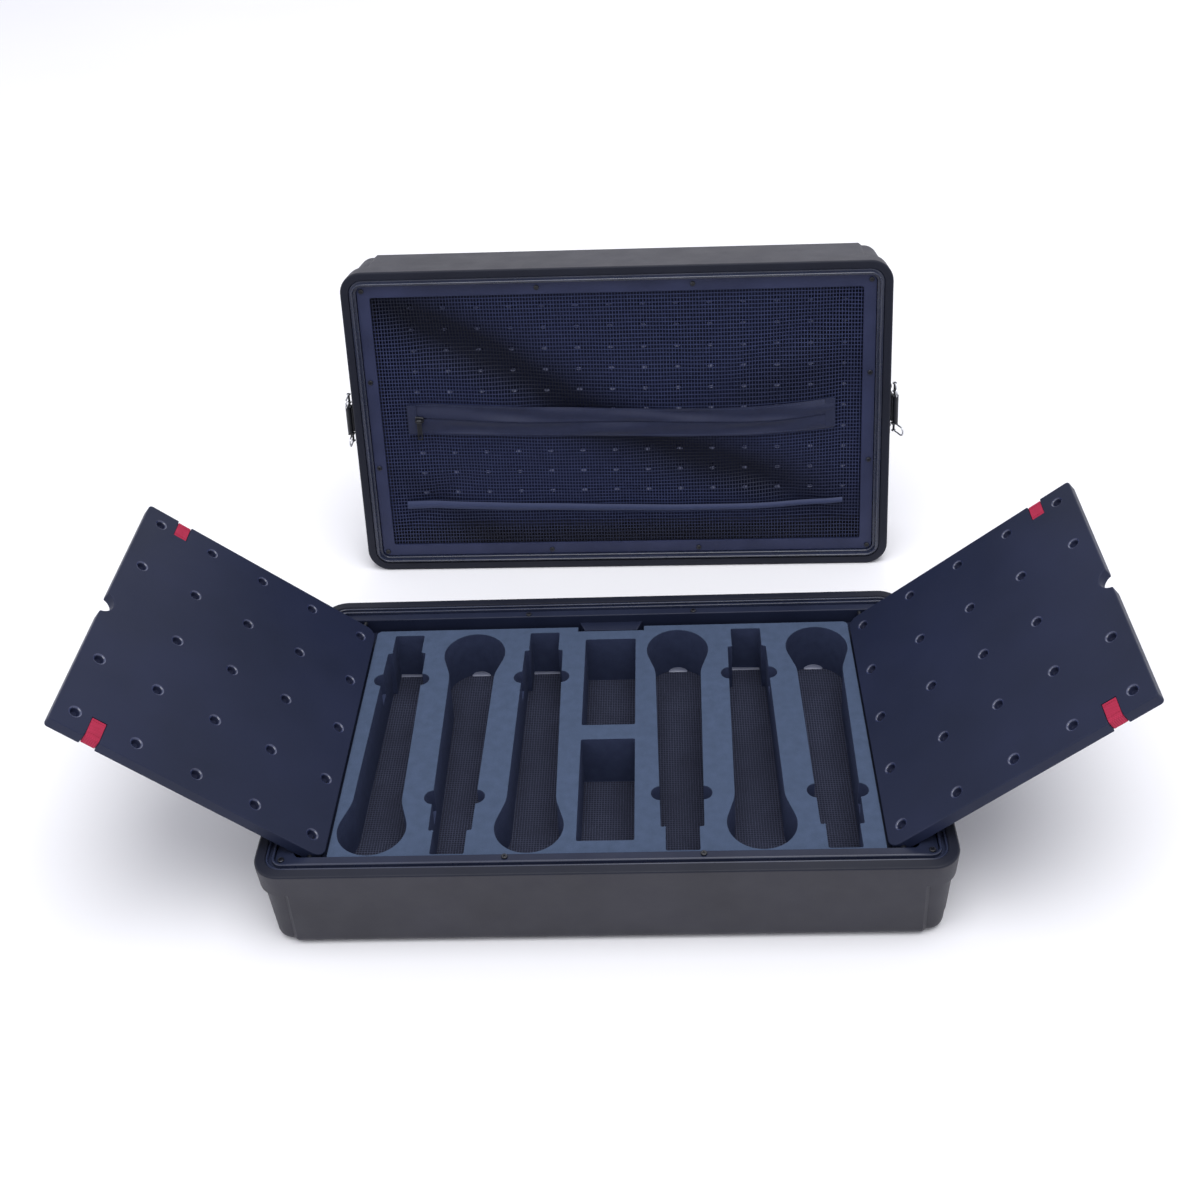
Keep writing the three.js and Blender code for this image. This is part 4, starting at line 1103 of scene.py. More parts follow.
# %% One folded tab and its stitches
def folded_tab(name, side):
    """A strip that runs out over the panel's face, round its edge and back underneath."""
    piece = rounded_plate(name, 6.25, 9, 0, 4.15, (TAB_X, 133))
    bend = [(142.9, 3.8), (143.3, 2.9), (143.3, -2.9), (142.9, -3.8), (142.0, -4.15), (124, -4.15)]
    bpy.ops.mesh.subdivide(number_cuts=3)
    pick("EDGE", lambda e: e.is_boundary and middle(e).y > 141.99 - 1e-3)
    place = Vector((0, 142.0, 4.15))
    for y, z in bend:
        move = (0, (y - place.y) * MM, (z - place.z) * MM)
        bpy.ops.mesh.extrude_region_move(TRANSFORM_OT_translate={"value": move})
        place = Vector((0, y, z))
    object_mode()
    keep_flat_uv(piece)
    thicken(piece, 1.2, 0)
    round_edges(piece, 0.35, 2, 60)
    if side < 0:
        piece.data.transform(Matrix.Scale(-1, 4, (0, 1, 0)))
        piece.data.flip_normals()
    return piece


def tab_stitches(name, side):
    """Short raised threads in two rows across a tab, on both of its faces."""
    threads = []
    for top in (-1, 1):
        for row in (126.5, 139.5):
            for i in range(5):
                x = TAB_X - 4.4 + 2.2 * i
                ends = [(x + half, side * row, top * 4.78) for half in (-0.75, 0.75)]
                threads.append(rod("thread", 0.28, *ends, 6))
    return join_pieces(threads, name)


for side in ("left", "right"):
    for word, way in (("back", 1), ("front", -1)):
        tab = folded_tab(f"red_tab_{word}_{side}", way)
        node = f"wing_tab_{word}_{side}"
        finish(tab, webbing_finish, "cover_" + side, cover_place[side], [node], 40)
        stitches = tab_stitches(f"tab_stitches_{word}_{side}", way)
        keep_flat_uv(stitches)
        finish(stitches, thread_finish, "cover_" + side, cover_place[side])
print("tabs folded:", 4)

# %% [markdown]
# ## Hinge rods and screws
# Each cover turns on a steel rod in the trough. The flange and the net's frame are held by pan-head screws
# with a cross recess, modelled once and copied to twelve places on each rim. At this size a plain disc would
# nearly do, but the recess gives the small bright cross that makes a screw read as one.

# %% Hinge rods
ROD_HALF = 153.5
for side, sign in (("left", -1), ("right", 1)):
    ends = [(sign * HINGE_X, y, HINGE_Z) for y in (-ROD_HALF, ROD_HALF)]
    pin = rod("hinge_pin_" + side, 1.8, *ends, 24)
    round_edges(pin, 0.4, 2, 60)
    finish(pin, steel_finish, "base", None, ["hinge_rod_" + side])
    print(pin.name, "length:", 2 * ROD_HALF, "mm")

# %% One screw
def screw_piece(name):
    """A pan head with its cross recess and a stub of its shank."""
    head = rod(name, 2.7, (0, 0, 0.3), (0, 0, 1.45), 28)
    edit(head)
    pick("EDGE", lambda e: middle(e).z > 1.4 and is_sharp(e, 50))
    bpy.ops.mesh.bevel(offset=0.75 * MM, segments=4, affect="EDGES")
    object_mode()
    for turn in (0, 90):
        slot = box("cross", (-1.35, 1.35), (-0.32, 0.32), (0.65, 3))
        slot.data.transform(turned(turn + 20, "Z"))
        combine(head, slot)
    shank = rod("shank", 1.4, (0, 0, -2.5), (0, 0, 0.5), 12)
    combine(head, shank, "UNION")
    return head


SCREW_X = RIM_X - 22
SCREW_Y = RIM_Y - 22
screw = screw_piece("screw")
places = []
for side_x in (-1, 1):
    for side_y in (-1, 1):
        places.append((side_x * SCREW_X, side_y * SCREW_Y))
        places.append((side_x * 80.5, side_y * SCREW_Y))
        places.append((side_x * SCREW_X, side_y * 51))
for prefix, body, rim, height in (
    ("flange_screw", "base", Matrix.Identity(4), FLANGE_TOP),
    ("frame_screw", "lid", lid_place, -3.5),
):
    for i, (x, y) in enumerate(places):
        turn = turned(37 * i, "Z")
        made = copy_of(screw, f"{prefix}_head_{i + 1}")
        place = rim @ shifted(x, y, height) @ turn
        finish(made, screw_finish, body, place, [f"{prefix}_{i + 1}"], 35)
bpy.data.objects.remove(screw, do_unlink=True)
print("screws:", 2 * len(places))

# %% [markdown]
# ## Net frame and the lid's inner panel
# A flat strip with soft edges clamps the net round the lid; its tone is painted light. Behind the net, the
# inner panel has a close grid of small dimples, which show through the mesh as rows of glints. A bump in the
# material could draw them, but it would be lost from the side, so small cups are cut in. The panel's dark
# tone is painted shade, and the cups' upward slopes are painted pale as painted glints.

# %% Net frame
strip = flat_ring("net_frame_strip", 16.6, RIM_X - 30, RIM_Y - 30, -5.5, -3.5, 0.9)
# The strip's finish is painted lighter than the liner's sheet: painted light.
finish(strip, strip_painted_light, "lid", lid_place, ["net_frame"])
print("net frame faces:", len(strip.data.polygons))

# %% Inner panel with its dimples
PANEL_X = 261.8
PANEL_Y = 153.8
inner = rounded_plate("lid_inner_panel", PANEL_X, PANEL_Y, 3, -73.7)
step(0, 7)
step(1, 1)
object_mode()
cup_places = []
for column in range(-6, 8):
    for row in range(-5, 6):
        cup_places.append((column * 36 - 10, row * 25 + 11))
bpy.ops.mesh.primitive_circle_add(vertices=12, radius=1.5 * MM, fill_type="NGON")
cup = bpy.context.object
bpy.ops.object.mode_set(mode="EDIT")
bpy.ops.mesh.select_all(action="SELECT")
bpy.ops.transform.translate(value=(0, 0, -2.6 * MM))
bpy.ops.mesh.extrude_region_move(TRANSFORM_OT_translate={"value": (0, 0, 2.0 * MM)})
bpy.ops.transform.resize(value=(2.6, 2.6, 1), center_override=(0, 0, 0))
bpy.ops.mesh.extrude_region_move(TRANSFORM_OT_translate={"value": (0, 0, 1.6 * MM)})
bpy.ops.transform.resize(value=(1.5, 1.5, 1), center_override=(0, 0, 0))
bpy.ops.mesh.select_all(action="SELECT")
bpy.ops.mesh.normals_make_consistent(inside=False)
bpy.ops.object.mode_set(mode="OBJECT")
cups = [copy_of(cup, "cup", shifted(x, y, -65.7)) for x, y in cup_places]
bpy.data.objects.remove(cup, do_unlink=True)
combine(inner, join_pieces(cups, "cup_tools"))
# The cup faces that slope up take a pale finish: a painted glint.
painted_glint_faces = set()
for face in inner.data.polygons:
    if -68.5 * MM < face.center.z < -66.4 * MM and face.area < 2e-5 and face.normal.y > 0.35:
        painted_glint_faces.add(face.index)
# The panel's dark finish is painted shade.
finish(inner, painted_shade_plastic, "lid", lid_place, ["lid_liner_panel"], 25)
painted_faces = second_finish(inner, painted_glint_plastic, lambda face: face.index in painted_glint_faces)
print("inner panel dimples:", len(cup_places), "with", painted_faces, "lit faces")

# %% [markdown]
# ## The net
# The pocket's net is a fine square mesh, a little slack, with soft folds that run from its corners. A
# picture with holes on a plain sheet would look flat, so each half starts as a grid with one face for each
# opening. Every face is drawn in and removed, which leaves the threads, and the sheet is moved by a few
# gentle waves before it gets its thickness. Cloth physics could drape it, but not in the same folds.

# %% How the net and the zip lie
def hump(x, y, start, end, width):
    """A soft ridge along the line from start to end, one along its middle and fading outwards."""
    line = Vector((end[0] - start[0], end[1] - start[1]))
    along = ((x - start[0]) * line.x + (y - start[1]) * line.y) / line.length_squared
    along = min(1.0, max(0.0, along))
    away = math.hypot(x - start[0] - along * line.x, y - start[1] - along * line.y)
    return math.exp(-((away / width) ** 2)) * math.sin(math.pi * (0.12 + 0.76 * along))


def zip_sag(x):
    """How far the zip hangs below its straight line, in millimetres: most right of the middle."""
    far = (x - 60) / 175 if x > 60 else (60 - x) / 262
    power = 3 if x > 60 else 1.4
    return 11.5 * max(0.0, 1 - far ** power)


def net_hang(x, y):
    """How far the net hangs down where it is sewn to the zip, fading out towards the frame."""
    share = max(0.0, 1 - abs(y - 7) / 142)
    return zip_sag(x) * share ** 1.2


def net_depth(x, y):
    """How far the net lies behind its frame, in millimetres."""
    edge = min(256 - abs(x), 148 - abs(y), 55) / 55
    held = max(0.0, min(1.0, edge)) ** 0.8
    folds = 9.0 * hump(x, y, (-262, 150), (-40, 10), 26)
    folds += 8.0 * hump(x, y, (-40, 10), (190, -85), 30)
    folds -= 3.5 * hump(x, y, (-235, 60), (-70, 26), 18)
    folds += 5.0 * hump(x, y, (255, -145), (120, -50), 16)
    folds -= 3.0 * hump(x, y, (255, -100), (60, -85), 15)
    folds += 5.5 * hump(x, y, (262, 150), (120, 45), 20)
    folds -= 2.5 * hump(x, y, (60, 140), (150, 40), 24)
    folds += 3.5 * hump(x, y, (-262, -150), (-150, -40), 15)
    ripples = 0.5 * math.sin(x / 13 + y / 19) + 0.4 * math.sin(y / 9 - x / 41)
    return 1.2 * held + max(-1.0, folds + ripples) * held


def net_shade(x, y):
    """The share of painted shade on the net's threads, from 0 in full light to 1 in the bottom of a fold."""
    shade = 1.1 * hump(x, y, (-300, 175), (-20, 12), 30)
    shade += 1.0 * hump(x, y, (-60, 20), (240, -105), 32)
    shade += 0.45 * hump(x, y, (250, 60), (90, 22), 28)
    shade += 0.4 * hump(x, y, (-250, -60), (-120, -150), 20)
    shade += 0.8 * hump(x, y, (-250, -142), (250, -142), 22)
    return min(0.92, max(0.0, shade))


print("the zip hangs", zip_sag(60), "mm at its lowest")

# %% Net halves
THREAD = 0.42
NET_TOP = -5.9
BAND_Y = 7
NET_COLUMNS = 162


def net_half(name, low, high, rows, behind_zip):
    """One half of the net, and its flat size and the area of its threads in square metres."""
    bpy.ops.mesh.primitive_grid_add(x_subdivisions=NET_COLUMNS, y_subdivisions=rows, size=2)
    piece = bpy.context.object
    piece.name = name
    bpy.ops.object.mode_set(mode="EDIT")
    bpy.ops.mesh.select_all(action="SELECT")
    size = (259.5 * MM, (high - low) / 2 * MM, 1)
    bpy.ops.transform.resize(value=size, center_override=(0, 0, 0))
    bpy.ops.transform.translate(value=(0, (high + low) / 2 * MM, 0))
    pick("FACE", behind_zip)
    bpy.ops.mesh.delete(type="FACE")
    bpy.ops.mesh.select_all(action="SELECT")
    cells = len(bmesh.from_edit_mesh(piece.data).faces)
    bpy.ops.mesh.inset(thickness=THREAD * MM, use_individual=True)
    bpy.ops.mesh.delete(type="FACE")
    bpy.ops.object.mode_set(mode="OBJECT")
    keep_flat_uv(piece)
    # The folds map carries the share of painted shade at each point of the threads.
    folds = piece.data.uv_layers.new(name="folds")
    for loop in piece.data.loops:
        point = piece.data.vertices[loop.vertex_index].co / MM
        folds.data[loop.index].uv = (net_shade(point.x, point.y), 0)
    threads = sum(face.area for face in piece.data.polygons)
    for vertex in piece.data.vertices:
        x, y = vertex.co.x / MM, vertex.co.y / MM
        vertex.co.y = (y - net_hang(x, y)) * MM
        vertex.co.z = (NET_TOP - net_depth(x, y)) * MM
    thicken(piece, 0.4, -1)
    print(name, "cells:", cells, "triangles:", sum(len(p.vertices) - 2 for p in piece.data.polygons))
    return piece, (0.519, (high - low) * MM), threads


def behind_upper_tape(face):
    """Whether an opening of the upper half lies behind the zip, where no net is."""
    x, y, _ = face.calc_center_median() / MM
    return abs(x) < 223 and y < 19


def behind_lower_tape(face):
    """The same for the lower half."""
    x, y, _ = face.calc_center_median() / MM
    return abs(x) < 223 and y > -5


net_cut = {}
for word, low, high, rows, behind in (
    ("upper", BAND_Y, 151.5, 35, behind_upper_tape),
    ("lower", -151.5, BAND_Y, 39, behind_lower_tape),
):
    half, flat, threads = net_half("net_mesh_" + word, low, high, rows, behind)
    finish(half, net_finish, "lid", lid_place, ["net_" + word], 60, False)
    net_cut[word] = (half, flat, threads)

# %% [markdown]
# ## The zip
# Two woven tapes are sewn to the net's halves and meet over the coil in a seam that wanders a little. The
# coil's turns show as a fine dark line, and the slider waits at the left end. The tapes could be dragged
# into waves by hand, but a small function bends each grid, so tapes, coil and seams follow the same line.

# %% Tapes
BAND_HALF = 226


def strip_piece(name, near, far, half_length, rows, columns, lie):
    """A strip of cloth from near to far in y that lies as lie(x, share) says: its y and its z."""
    bpy.ops.mesh.primitive_grid_add(x_subdivisions=columns, y_subdivisions=rows, size=2)
    piece = bpy.context.object
    piece.name = name
    bpy.ops.object.mode_set(mode="EDIT")
    bpy.ops.mesh.select_all(action="SELECT")
    size = (half_length * MM, (far - near) / 2 * MM, 1)
    bpy.ops.transform.resize(value=size, center_override=(0, 0, 0))
    bpy.ops.transform.translate(value=(0, (far + near) / 2 * MM, 0))
    bpy.ops.object.mode_set(mode="OBJECT")
    keep_flat_uv(piece)
    for vertex in piece.data.vertices:
        x, y = vertex.co.x / MM, vertex.co.y / MM
        new_y, new_z = lie(x, (y - near) / (far - near))
        vertex.co.y = new_y * MM
        vertex.co.z = new_z * MM
    return thicken(piece, 0.5, 0)


def seam_line(x):
    """Where the zip's coil runs: it hangs with the band and wanders a little."""
    return BAND_Y - zip_sag(x) + 1.6 * math.sin(x / 47 + 0.9) * min(1, (BAND_HALF - abs(x)) / 60)


def band_depth(x):
    """How far the band bends back with the net behind it."""
    return 0.35 * net_depth(x, BAND_Y - 0.7 * zip_sag(x))


def upper_lie(x, share):
    """The upper tape from the seam, share 0, to its edge, share 1: its y and its z."""
    seam = seam_line(x) + 0.7
    edge = 24.3 - 1.08 * zip_sag(x)
    lift = 1.5 * math.sin(x / 37 + 1.0 + 2 * share) + 0.8 * math.sin(x / 15)
    depth = -4.6 + 1.2 * (1 - share) ** 2 + lift * math.sin(math.pi * share)
    return seam + (edge - seam) * share, depth - band_depth(x)


def lower_lie(x, share):
    """The lower tape from its edge, share 0, to the seam, share 1: its y and its z."""
    seam = seam_line(x) - 0.7
    edge = -11.2 - 0.82 * zip_sag(x)
    lift = 1.6 * math.sin(x / 41 + 2.2 - share) + 0.7 * math.sin(x / 17 + 2)
    depth = -4.6 + 1.2 * share ** 2 + lift * math.sin(math.pi * share)
    return edge + (seam - edge) * share, depth - band_depth(x)


for word, near, far, lie in (("upper", 7.7, 24.3, upper_lie), ("lower", -10.3, 6.3, lower_lie)):
    tape = strip_piece("zip_cloth_" + word, near, far, BAND_HALF, 14, 190, lie)
    finish(tape, tape_finish, "lid", lid_place, ["zip_tape_" + word], 60, False)
print("tape length:", 2 * BAND_HALF, "mm")

# %% Coil turns, end squares and seams
tooth = box("tooth", (-0.5, 0.5), (-1.9, 1.9), (-5.4, -4.2))
round_edges(tooth, 0.35, 2, 40)
turns = []
x = -BAND_HALF + 20
while x < BAND_HALF - 4:
    turns.append(copy_of(tooth, "turn", shifted(x, seam_line(x), 1.1 - band_depth(x))))
    x += 1.8
bpy.data.objects.remove(tooth, do_unlink=True)
coil = join_pieces(turns, "zip_coil_turns")
keep_flat_uv(coil)
finish(coil, tape_finish, "lid", lid_place, (), 40)
ends = []
for end in (-1, 1):
    patch = rounded_plate("end_patch", 5, 16.5, 1.2, -3.6, (end * (BAND_HALF - 4), BAND_Y - 1))
    step(0, 0.7)
    step(0.3, 0.2)
    object_mode()
    ends.append(patch)
end_patches = join_pieces(ends, "zip_end_patches")
keep_flat_uv(end_patches)
finish(end_patches, tape_finish, "lid", lid_place, (), 40)
threads = []
for lie, share in ((upper_lie, 0.88), (lower_lie, 0.12)):
    x = -BAND_HALF + 3
    while x < BAND_HALF - 3:
        (y, z), (next_y, next_z) = lie(x, share), lie(x + 2, share)
        threads.append(rod("thread", 0.22, (x, y, z + 0.3), (x + 2, next_y, next_z + 0.3), 6))
        x += 3.1
seams = join_pieces(threads, "zip_seams")
keep_flat_uv(seams)
# The seams take the binding's finish, which is painted pale as painted light.
finish(seams, band_painted_light, "lid", lid_place, (), 60)
print("coil turns:", len(turns), "stitches:", len(threads))

# %% [markdown]
# ## Binding strip
# A folded strip of binding runs across the lower net and keeps it from sagging further. Laid straight it
# would float before the net, so it is bent as the zip's tapes are and hangs with the mesh.

# %% Binding
BINDING_HALF = 236
BINDING_Y = -104


def binding_lie(x, share):
    """The strip is wider at its left end, hangs a little in the middle and is crowned by its fold."""
    width = 9.4 - 3.4 * (x + BINDING_HALF) / (2 * BINDING_HALF)
    centre = BINDING_Y + 6 - 0.62 * zip_sag(x) - 1.5 * (x + BINDING_HALF) / (2 * BINDING_HALF)
    depth = 0.45 * net_depth(x, centre)
    return centre + (share - 0.5) * width, -4.4 + 1.8 * math.sin(math.pi * share) - depth


binding = strip_piece("net_binding_strip", -108, -100, BINDING_HALF, 8, 120, binding_lie)
# The binding's paler finish is painted light.
finish(binding, band_painted_light, "lid", lid_place, ["net_binding"], 60, False)
for word, sewn_on in (("upper", []), ("lower", [binding])):
    half, flat, cloth = net_cut[word]
print("binding at y =", BINDING_Y, "mm in the lid")

# %% [markdown]
# ## Slider and pull
# The slider is a small casting with a bridge, and its pull is a flat tab with a slot, which hangs from a
# cross pin. Both are small in the picture, so a few blocks and bars, rounded and joined, are enough, and
# the pull is a piece of its own because it turns.

# %% Slider and pull shapes
SLIDER_X = 12 - BAND_HALF
SLIDER_LOW = -3.2
SLIDER_THICK = 3.2
PULL_PIN = SLIDER_LOW + SLIDER_THICK + 0.3 + 2.3
SLIDER_SPAN = (SLIDER_X - 4.5, SLIDER_X + 4.5)


def pin_line(half):
    """The two ends of a bar on the pull's pin, half to each side of the slider's middle."""
    return [(SLIDER_X + way * half, BAND_Y, PULL_PIN) for way in (-1, 1)]


heights = (SLIDER_LOW, SLIDER_LOW + SLIDER_THICK)
slider = box("slider_casting", SLIDER_SPAN, (BAND_Y - 4, BAND_Y + 4), heights)
edit(slider)
pick("VERT", lambda v: v.co.x > SLIDER_X * MM)
bpy.ops.transform.resize(value=(1, 0.72, 1), center_override=(0, BAND_Y * MM, 0))
object_mode()
round_edges(slider, 1.0, 3, 40)
for side in (-1, 1):
    ear = box(
        "ear",
        sorted((SLIDER_X + side * 2.8, SLIDER_X + side * 4.0)),
        (BAND_Y - 1.6, BAND_Y + 1.6),
        (SLIDER_LOW + 2, PULL_PIN + 1.6),
    )
    round_edges(ear, 0.45, 2, 40)
    combine(slider, ear, "UNION")
combine(slider, rod("cross", 1.0, *pin_line(4), 20), "UNION")
finish(slider, steel_finish, "slider", lid_place, ["zip_slider"])

pull = rounded_plate("pull_tab", 2.5, 10.5, 1.6, PULL_PIN - 0.8, (SLIDER_X, BAND_Y - 11.5), 6)
step(0, 1.3)
step(0.3, 0.3)
object_mode()
window = rounded_plate("window", 1.3, 2.6, 0.9, PULL_PIN - 5, (SLIDER_X, BAND_Y - 18), 5)
step(0, 10)
object_mode()
combine(pull, window)
eye = rod("eye", 2.3, *pin_line(2.5), 28)
round_edges(eye, 0.4, 2, 60)
combine(pull, eye, "UNION")
combine(pull, rod("bore", 1.3, *pin_line(4), 24))
finish(pull, steel_finish, "pull", lid_place, ["zip_pull"])
print("slider at x =", SLIDER_X, "mm in the lid")

# %% [markdown]
# ## Latches and keepers
# Each end of the lid carries a riveted plate with a folded lever. Two bright wire links ride on the
# lever's cross pin and catch the keeper on the base. Each could be bent from one sheet, but they are seen
# small, so blocks and bars are joined instead. Plate, lever, keeper and link are modelled once in the frame
# of the end wall and mirrored, so that both ends match.

# %% Plate, lever and keeper
PIN_X = 6.1
PIN_Z = -5.5
LINK_Z = PIN_Z - 6
LEVER_END = -42
PLATE_HALF = 29
PLATE_INNER = 0.3
PLATE_OUTER = 2.8


def turned_plate(name, half_y, low, high, inner, outer, corner):
    """A plate that stands on the wall: x is its thickness, y its width and z its height."""
    piece = rounded_plate(name, (high - low) / 2, half_y, corner, 0, ((high + low) / 2, 0), 5)
    step(0, outer - inner)
    object_mode()
    piece.data.transform(shifted(inner, 0, 0) @ turned(-90, "Y"))
    return piece


def latch_plate_piece(name):
    """The plate with two ears for the lever's pin and four rivets."""
    piece = turned_plate(name, PLATE_HALF, -46, -2, PLATE_INNER, PLATE_OUTER, 3)
    round_edges(piece, 0.5, 2, 50)
    for side in (-1, 1):
        span = sorted((side * 15.3, side * 17.3))
        ear = box("ear", (1.8, 8.8), span, (PIN_Z - 2.7, PIN_Z + 2.7))
        round_edges(ear, 0.9, 3, 50)
        combine(piece, ear, "UNION")
        for height in (-16, -41):
            rivet = rod("rivet", 2.6, (2.0, side * 22.5, height), (3.6, side * 22.5, height), 24)
            round_edges(rivet, 0.7, 3, 50)
            combine(piece, rivet, "UNION")
    combine(piece, rod("pin", 1.6, (PIN_X, -17.6, PIN_Z), (PIN_X, 17.6, PIN_Z), 20), "UNION")
    return piece


def lever_piece(name):
    """The lever with its eye, its dished arm and the cross pin that the links ride on."""
    piece = rod(name, 3.0, (PIN_X, -15, PIN_Z), (PIN_X, 15, PIN_Z), 32)
    arm = turned_plate("arm", 15, LEVER_END, PIN_Z, PIN_X - 1.5, PIN_X + 1.5, 3)
    round_edges(arm, 0.6, 2, 50)
    combine(piece, arm, "UNION")
    dish = turned_plate("dish", 9, -37, -17, PIN_X + 0.8, PIN_X + 4, 3)
    round_edges(dish, 0.7, 2, 50)
    combine(piece, dish)
    combine(piece, rod("bore", 1.9, (PIN_X, -16, PIN_Z), (PIN_X, 16, PIN_Z), 24))
    cross = rod("cross", 1.2, (PIN_X, -28.7, LINK_Z), (PIN_X, 28.7, LINK_Z), 20)
    round_edges(cross, 0.3, 2, 50)
    combine(piece, cross, "UNION")
    return piece


def keeper_piece(name):
    """A plate with a lip whose edge hooks down, for the links to catch."""
    span = (-PLATE_HALF, PLATE_HALF)
    piece = turned_plate(name, PLATE_HALF, -22, -2, PLATE_INNER, PLATE_OUTER, 3)
    combine(piece, box("lip", (1.8, 9.1), span, (-5, -3)), "UNION")
    combine(piece, box("hook", (7.6, 9.1), span, (-10, -4)), "UNION")
    round_edges(piece, 0.5, 2, 50)
    return piece


lever_shape = lever_piece("lever_shape")
plate_shape = latch_plate_piece("plate_shape")
keeper_shape = keeper_piece("keeper_shape")
for side in ("left", "right"):
    place = end_wall_place(side, 6.5, lid_place)
    plate = copy_of(plate_shape, "latch_plate_riveted_" + side)
    finish(plate, steel_finish, "lid", place, ["latch_plate_" + side])
    lever = copy_of(lever_shape, "latch_lever_folded_" + side)
    finish(lever, steel_finish, "lever_" + side, place, ["latch_lever_" + side])
    keeper = copy_of(keeper_shape, "keeper_folded_" + side)
    wall = end_wall_place(side, -6.5, base_place)
    finish(keeper, steel_finish, "base", wall, ["keeper_" + side])
for shape in (lever_shape, plate_shape, keeper_shape):
    bpy.data.objects.remove(shape, do_unlink=True)
print("latches and keepers: 2 each")

# %% Wire links
WIRE_RADIUS = 0.9
LINK_HALF = 5.5
LINK_REACH = 6.2
# The right latch's lower link is lifted a little at rest, and the others lean on the wall.
LEANING = -6
LIFTED = 20


def wire_link(name, side):
    """A bent wire with an eye at each end, drawn as a curve with its round section."""
    centre = side * (PLATE_HALF - 0.6 - LINK_HALF)
    bend = LINK_HALF - WIRE_RADIUS
    end = LINK_REACH - LINK_Z - bend
    points = [(centre - bend, 1.0), (centre - bend, end * 0.5), (centre - bend, end)]
    for i in range(1, 12):
        angle = math.pi * i / 12
        points.append((centre - bend * math.cos(angle), end + bend * math.sin(angle)))
    points += [(centre + bend, end), (centre + bend, end * 0.5), (centre + bend, 1.0)]
    curve = bpy.data.curves.new(name, "CURVE")
    curve.dimensions = "3D"
    curve.bevel_depth = WIRE_RADIUS * MM
    curve.bevel_resolution = 4
    curve.use_fill_caps = True
    line = curve.splines.new("POLY")
    line.points.add(len(points) - 1)
    for point, (y, z) in zip(line.points, points):
        point.co = (0, y * MM, z * MM, 1)
    piece = bpy.data.objects.new(name, curve)
    bpy.context.scene.collection.objects.link(piece)
    bpy.ops.object.select_all(action="DESELECT")
    piece.select_set(True)
    bpy.context.view_layer.objects.active = piece
    bpy.ops.object.convert(target="MESH")
    piece = bpy.context.object
    for edge in (-bend, bend):
        y = centre + edge
        bpy.ops.mesh.primitive_torus_add(
            major_radius=1.95 * MM, minor_radius=0.55 * MM, major_segments=28, minor_segments=10
        )
        eye = bpy.context.object
        eye.data.transform(shifted(0, y, 0) @ turned(90, "X") @ Matrix.Scale(1.5, 4, (0, 0, 1)))
        combine(piece, eye, "UNION")
    return piece


for word, end in (("upper", 1), ("lower", -1)):
    shape = wire_link("link_shape", end)
    for side in ("left", "right"):
        lift = LIFTED if side == "right" and word == "lower" else LEANING
        place = end_wall_place(side, 6.5, lid_place) @ shifted(PIN_X, 0, LINK_Z) @ turned(lift, "Y")
        link = copy_of(shape, f"wire_link_{word}_{side}")
        body = f"link_{word}_{side}"
        finish(link, chrome_finish, body, place, ["latch_" + body], 50)
    bpy.data.objects.remove(shape, do_unlink=True)
print("wire links: 4")

# %% [markdown]
# ## Floor, light and camera
# The case stands on a plain white floor under soft studio light. A photographed sky could light it too, but
# a plain world and three round lamps are even and repeat exactly. The world is as white as the floor to
# the camera and to gloss, and dimmer as a light, so that the dark plastic isn't washed out. The camera
# stands where the photograph was taken from, and a small shift frames the case as the photograph does.

# %% Floor
bpy.ops.mesh.primitive_plane_add(size=30, location=(0, 4, 0))
floor = bpy.context.object
floor.name = "floor"
white, tree, shader, where = new_finish("White paper floor", 0.9, 0.1)
lay_tones(tree, shader, "#fafafe", (patches(tree, where, 400, 0.0, 1.0, 2.0), "#fcfcff"))
floor.data.materials.append(white)
bpy.ops.object.select_all(action="DESELECT")
print("floor:", floor.name)

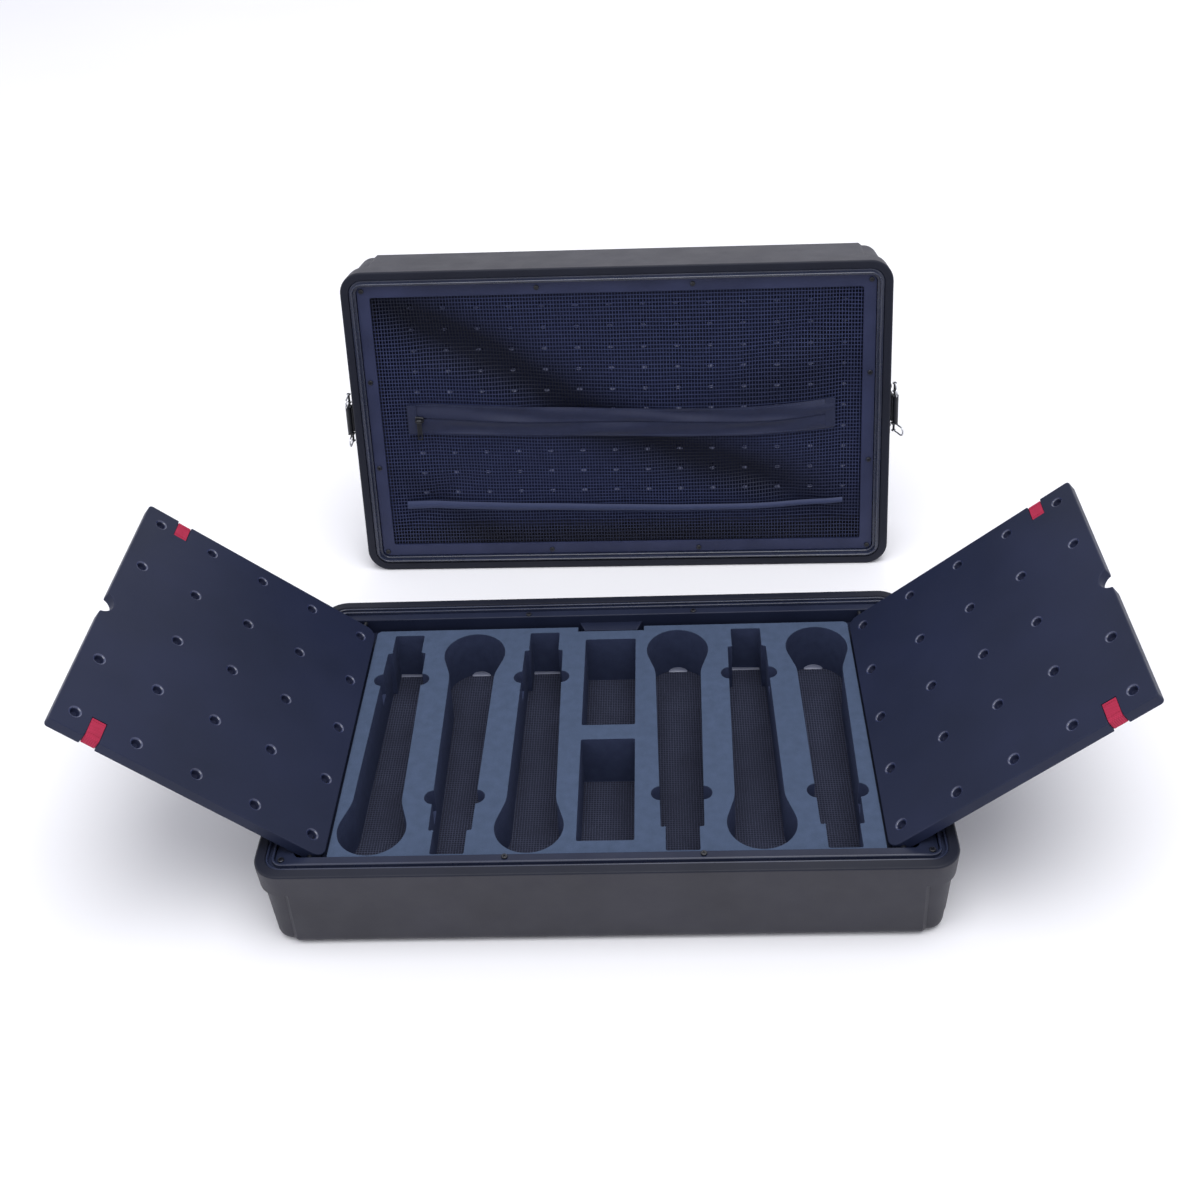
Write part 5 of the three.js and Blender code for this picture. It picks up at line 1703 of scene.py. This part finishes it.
# %% World and lamps
SKY_LIGHT = 0.68
world = bpy.data.worlds.new("studio")
bpy.context.scene.world = world
world.use_nodes = True
tree = world.node_tree
tree.nodes.clear()
paths = add_node(tree, "ShaderNodeLightPath").outputs
seen = paths["Is Camera Ray"]
for ray in ("Is Glossy Ray", "Is Transmission Ray"):
    seen = add_node(tree, "ShaderNodeMath", {0: seen, 1: paths[ray]}, operation="MAXIMUM").outputs[0]
limits = {"Value": seen, "To Min": SKY_LIGHT, "To Max": 1.0}
strength = add_node(tree, "ShaderNodeMapRange", limits).outputs["Result"]
sky = add_node(tree, "ShaderNodeBackground", {"Color": (0.94, 0.945, 1.0, 1), "Strength": strength})
add_node(tree, "ShaderNodeOutputWorld", {"Surface": sky.outputs["Background"]})


def soft_lamp(name, place, target, size, power):
    """A round soft lamp that looks at its target."""
    lamp = bpy.data.lights.new(name, "AREA")
    lamp.shape = "DISK"
    lamp.size = size
    lamp.energy = power
    made = bpy.data.objects.new(name, lamp)
    bpy.context.scene.collection.objects.link(made)
    made.location = place
    aim = Vector(target) - Vector(place)
    made.rotation_euler = aim.to_track_quat("-Z", "Y").to_euler()
    return made


soft_lamp("key", (0.5, -1.0, 4.4), (0, 0.1, 0.1), 3.6, 121)
soft_lamp("fill", (-2.6, -1.4, 3.0), (0, 0.1, 0.1), 2.4, 18)
soft_lamp("back", (0.6, 3.6, 3.2), (0, 0.2, 0.2), 2.4, 22)
print("lamps: key, fill and back")

# %% Camera
CAMERA_PLACE = (66.17, -1098.57, 1066.06)
CAMERA_YAW = math.radians(-2.759)
CAMERA_PITCH = math.radians(26.991)
CAMERA_ROLL = math.radians(-3.04)
ahead = Vector((
    math.sin(CAMERA_YAW) * math.cos(CAMERA_PITCH),
    math.cos(CAMERA_YAW) * math.cos(CAMERA_PITCH),
    -math.sin(CAMERA_PITCH),
))
level = Vector((math.cos(CAMERA_YAW), -math.sin(CAMERA_YAW), 0))
above = level.cross(ahead)
right = math.cos(CAMERA_ROLL) * level + math.sin(CAMERA_ROLL) * above
up = -math.sin(CAMERA_ROLL) * level + math.cos(CAMERA_ROLL) * above
lens = bpy.data.cameras.new("camera")
lens.sensor_width = 36
lens.lens = 48.01
lens.shift_y = -0.252
lens.clip_end = 50
camera = bpy.data.objects.new("camera", lens)
bpy.context.scene.collection.objects.link(camera)
camera.matrix_world = Matrix((
    (right.x, up.x, -ahead.x, CAMERA_PLACE[0] * MM),
    (right.y, up.y, -ahead.y, CAMERA_PLACE[1] * MM),
    (right.z, up.z, -ahead.z, CAMERA_PLACE[2] * MM),
    (0, 0, 0, 1),
))
bpy.context.scene.camera = camera
bpy.context.scene.view_settings.view_transform = "Standard"
print("camera lens:", lens.lens, "mm")
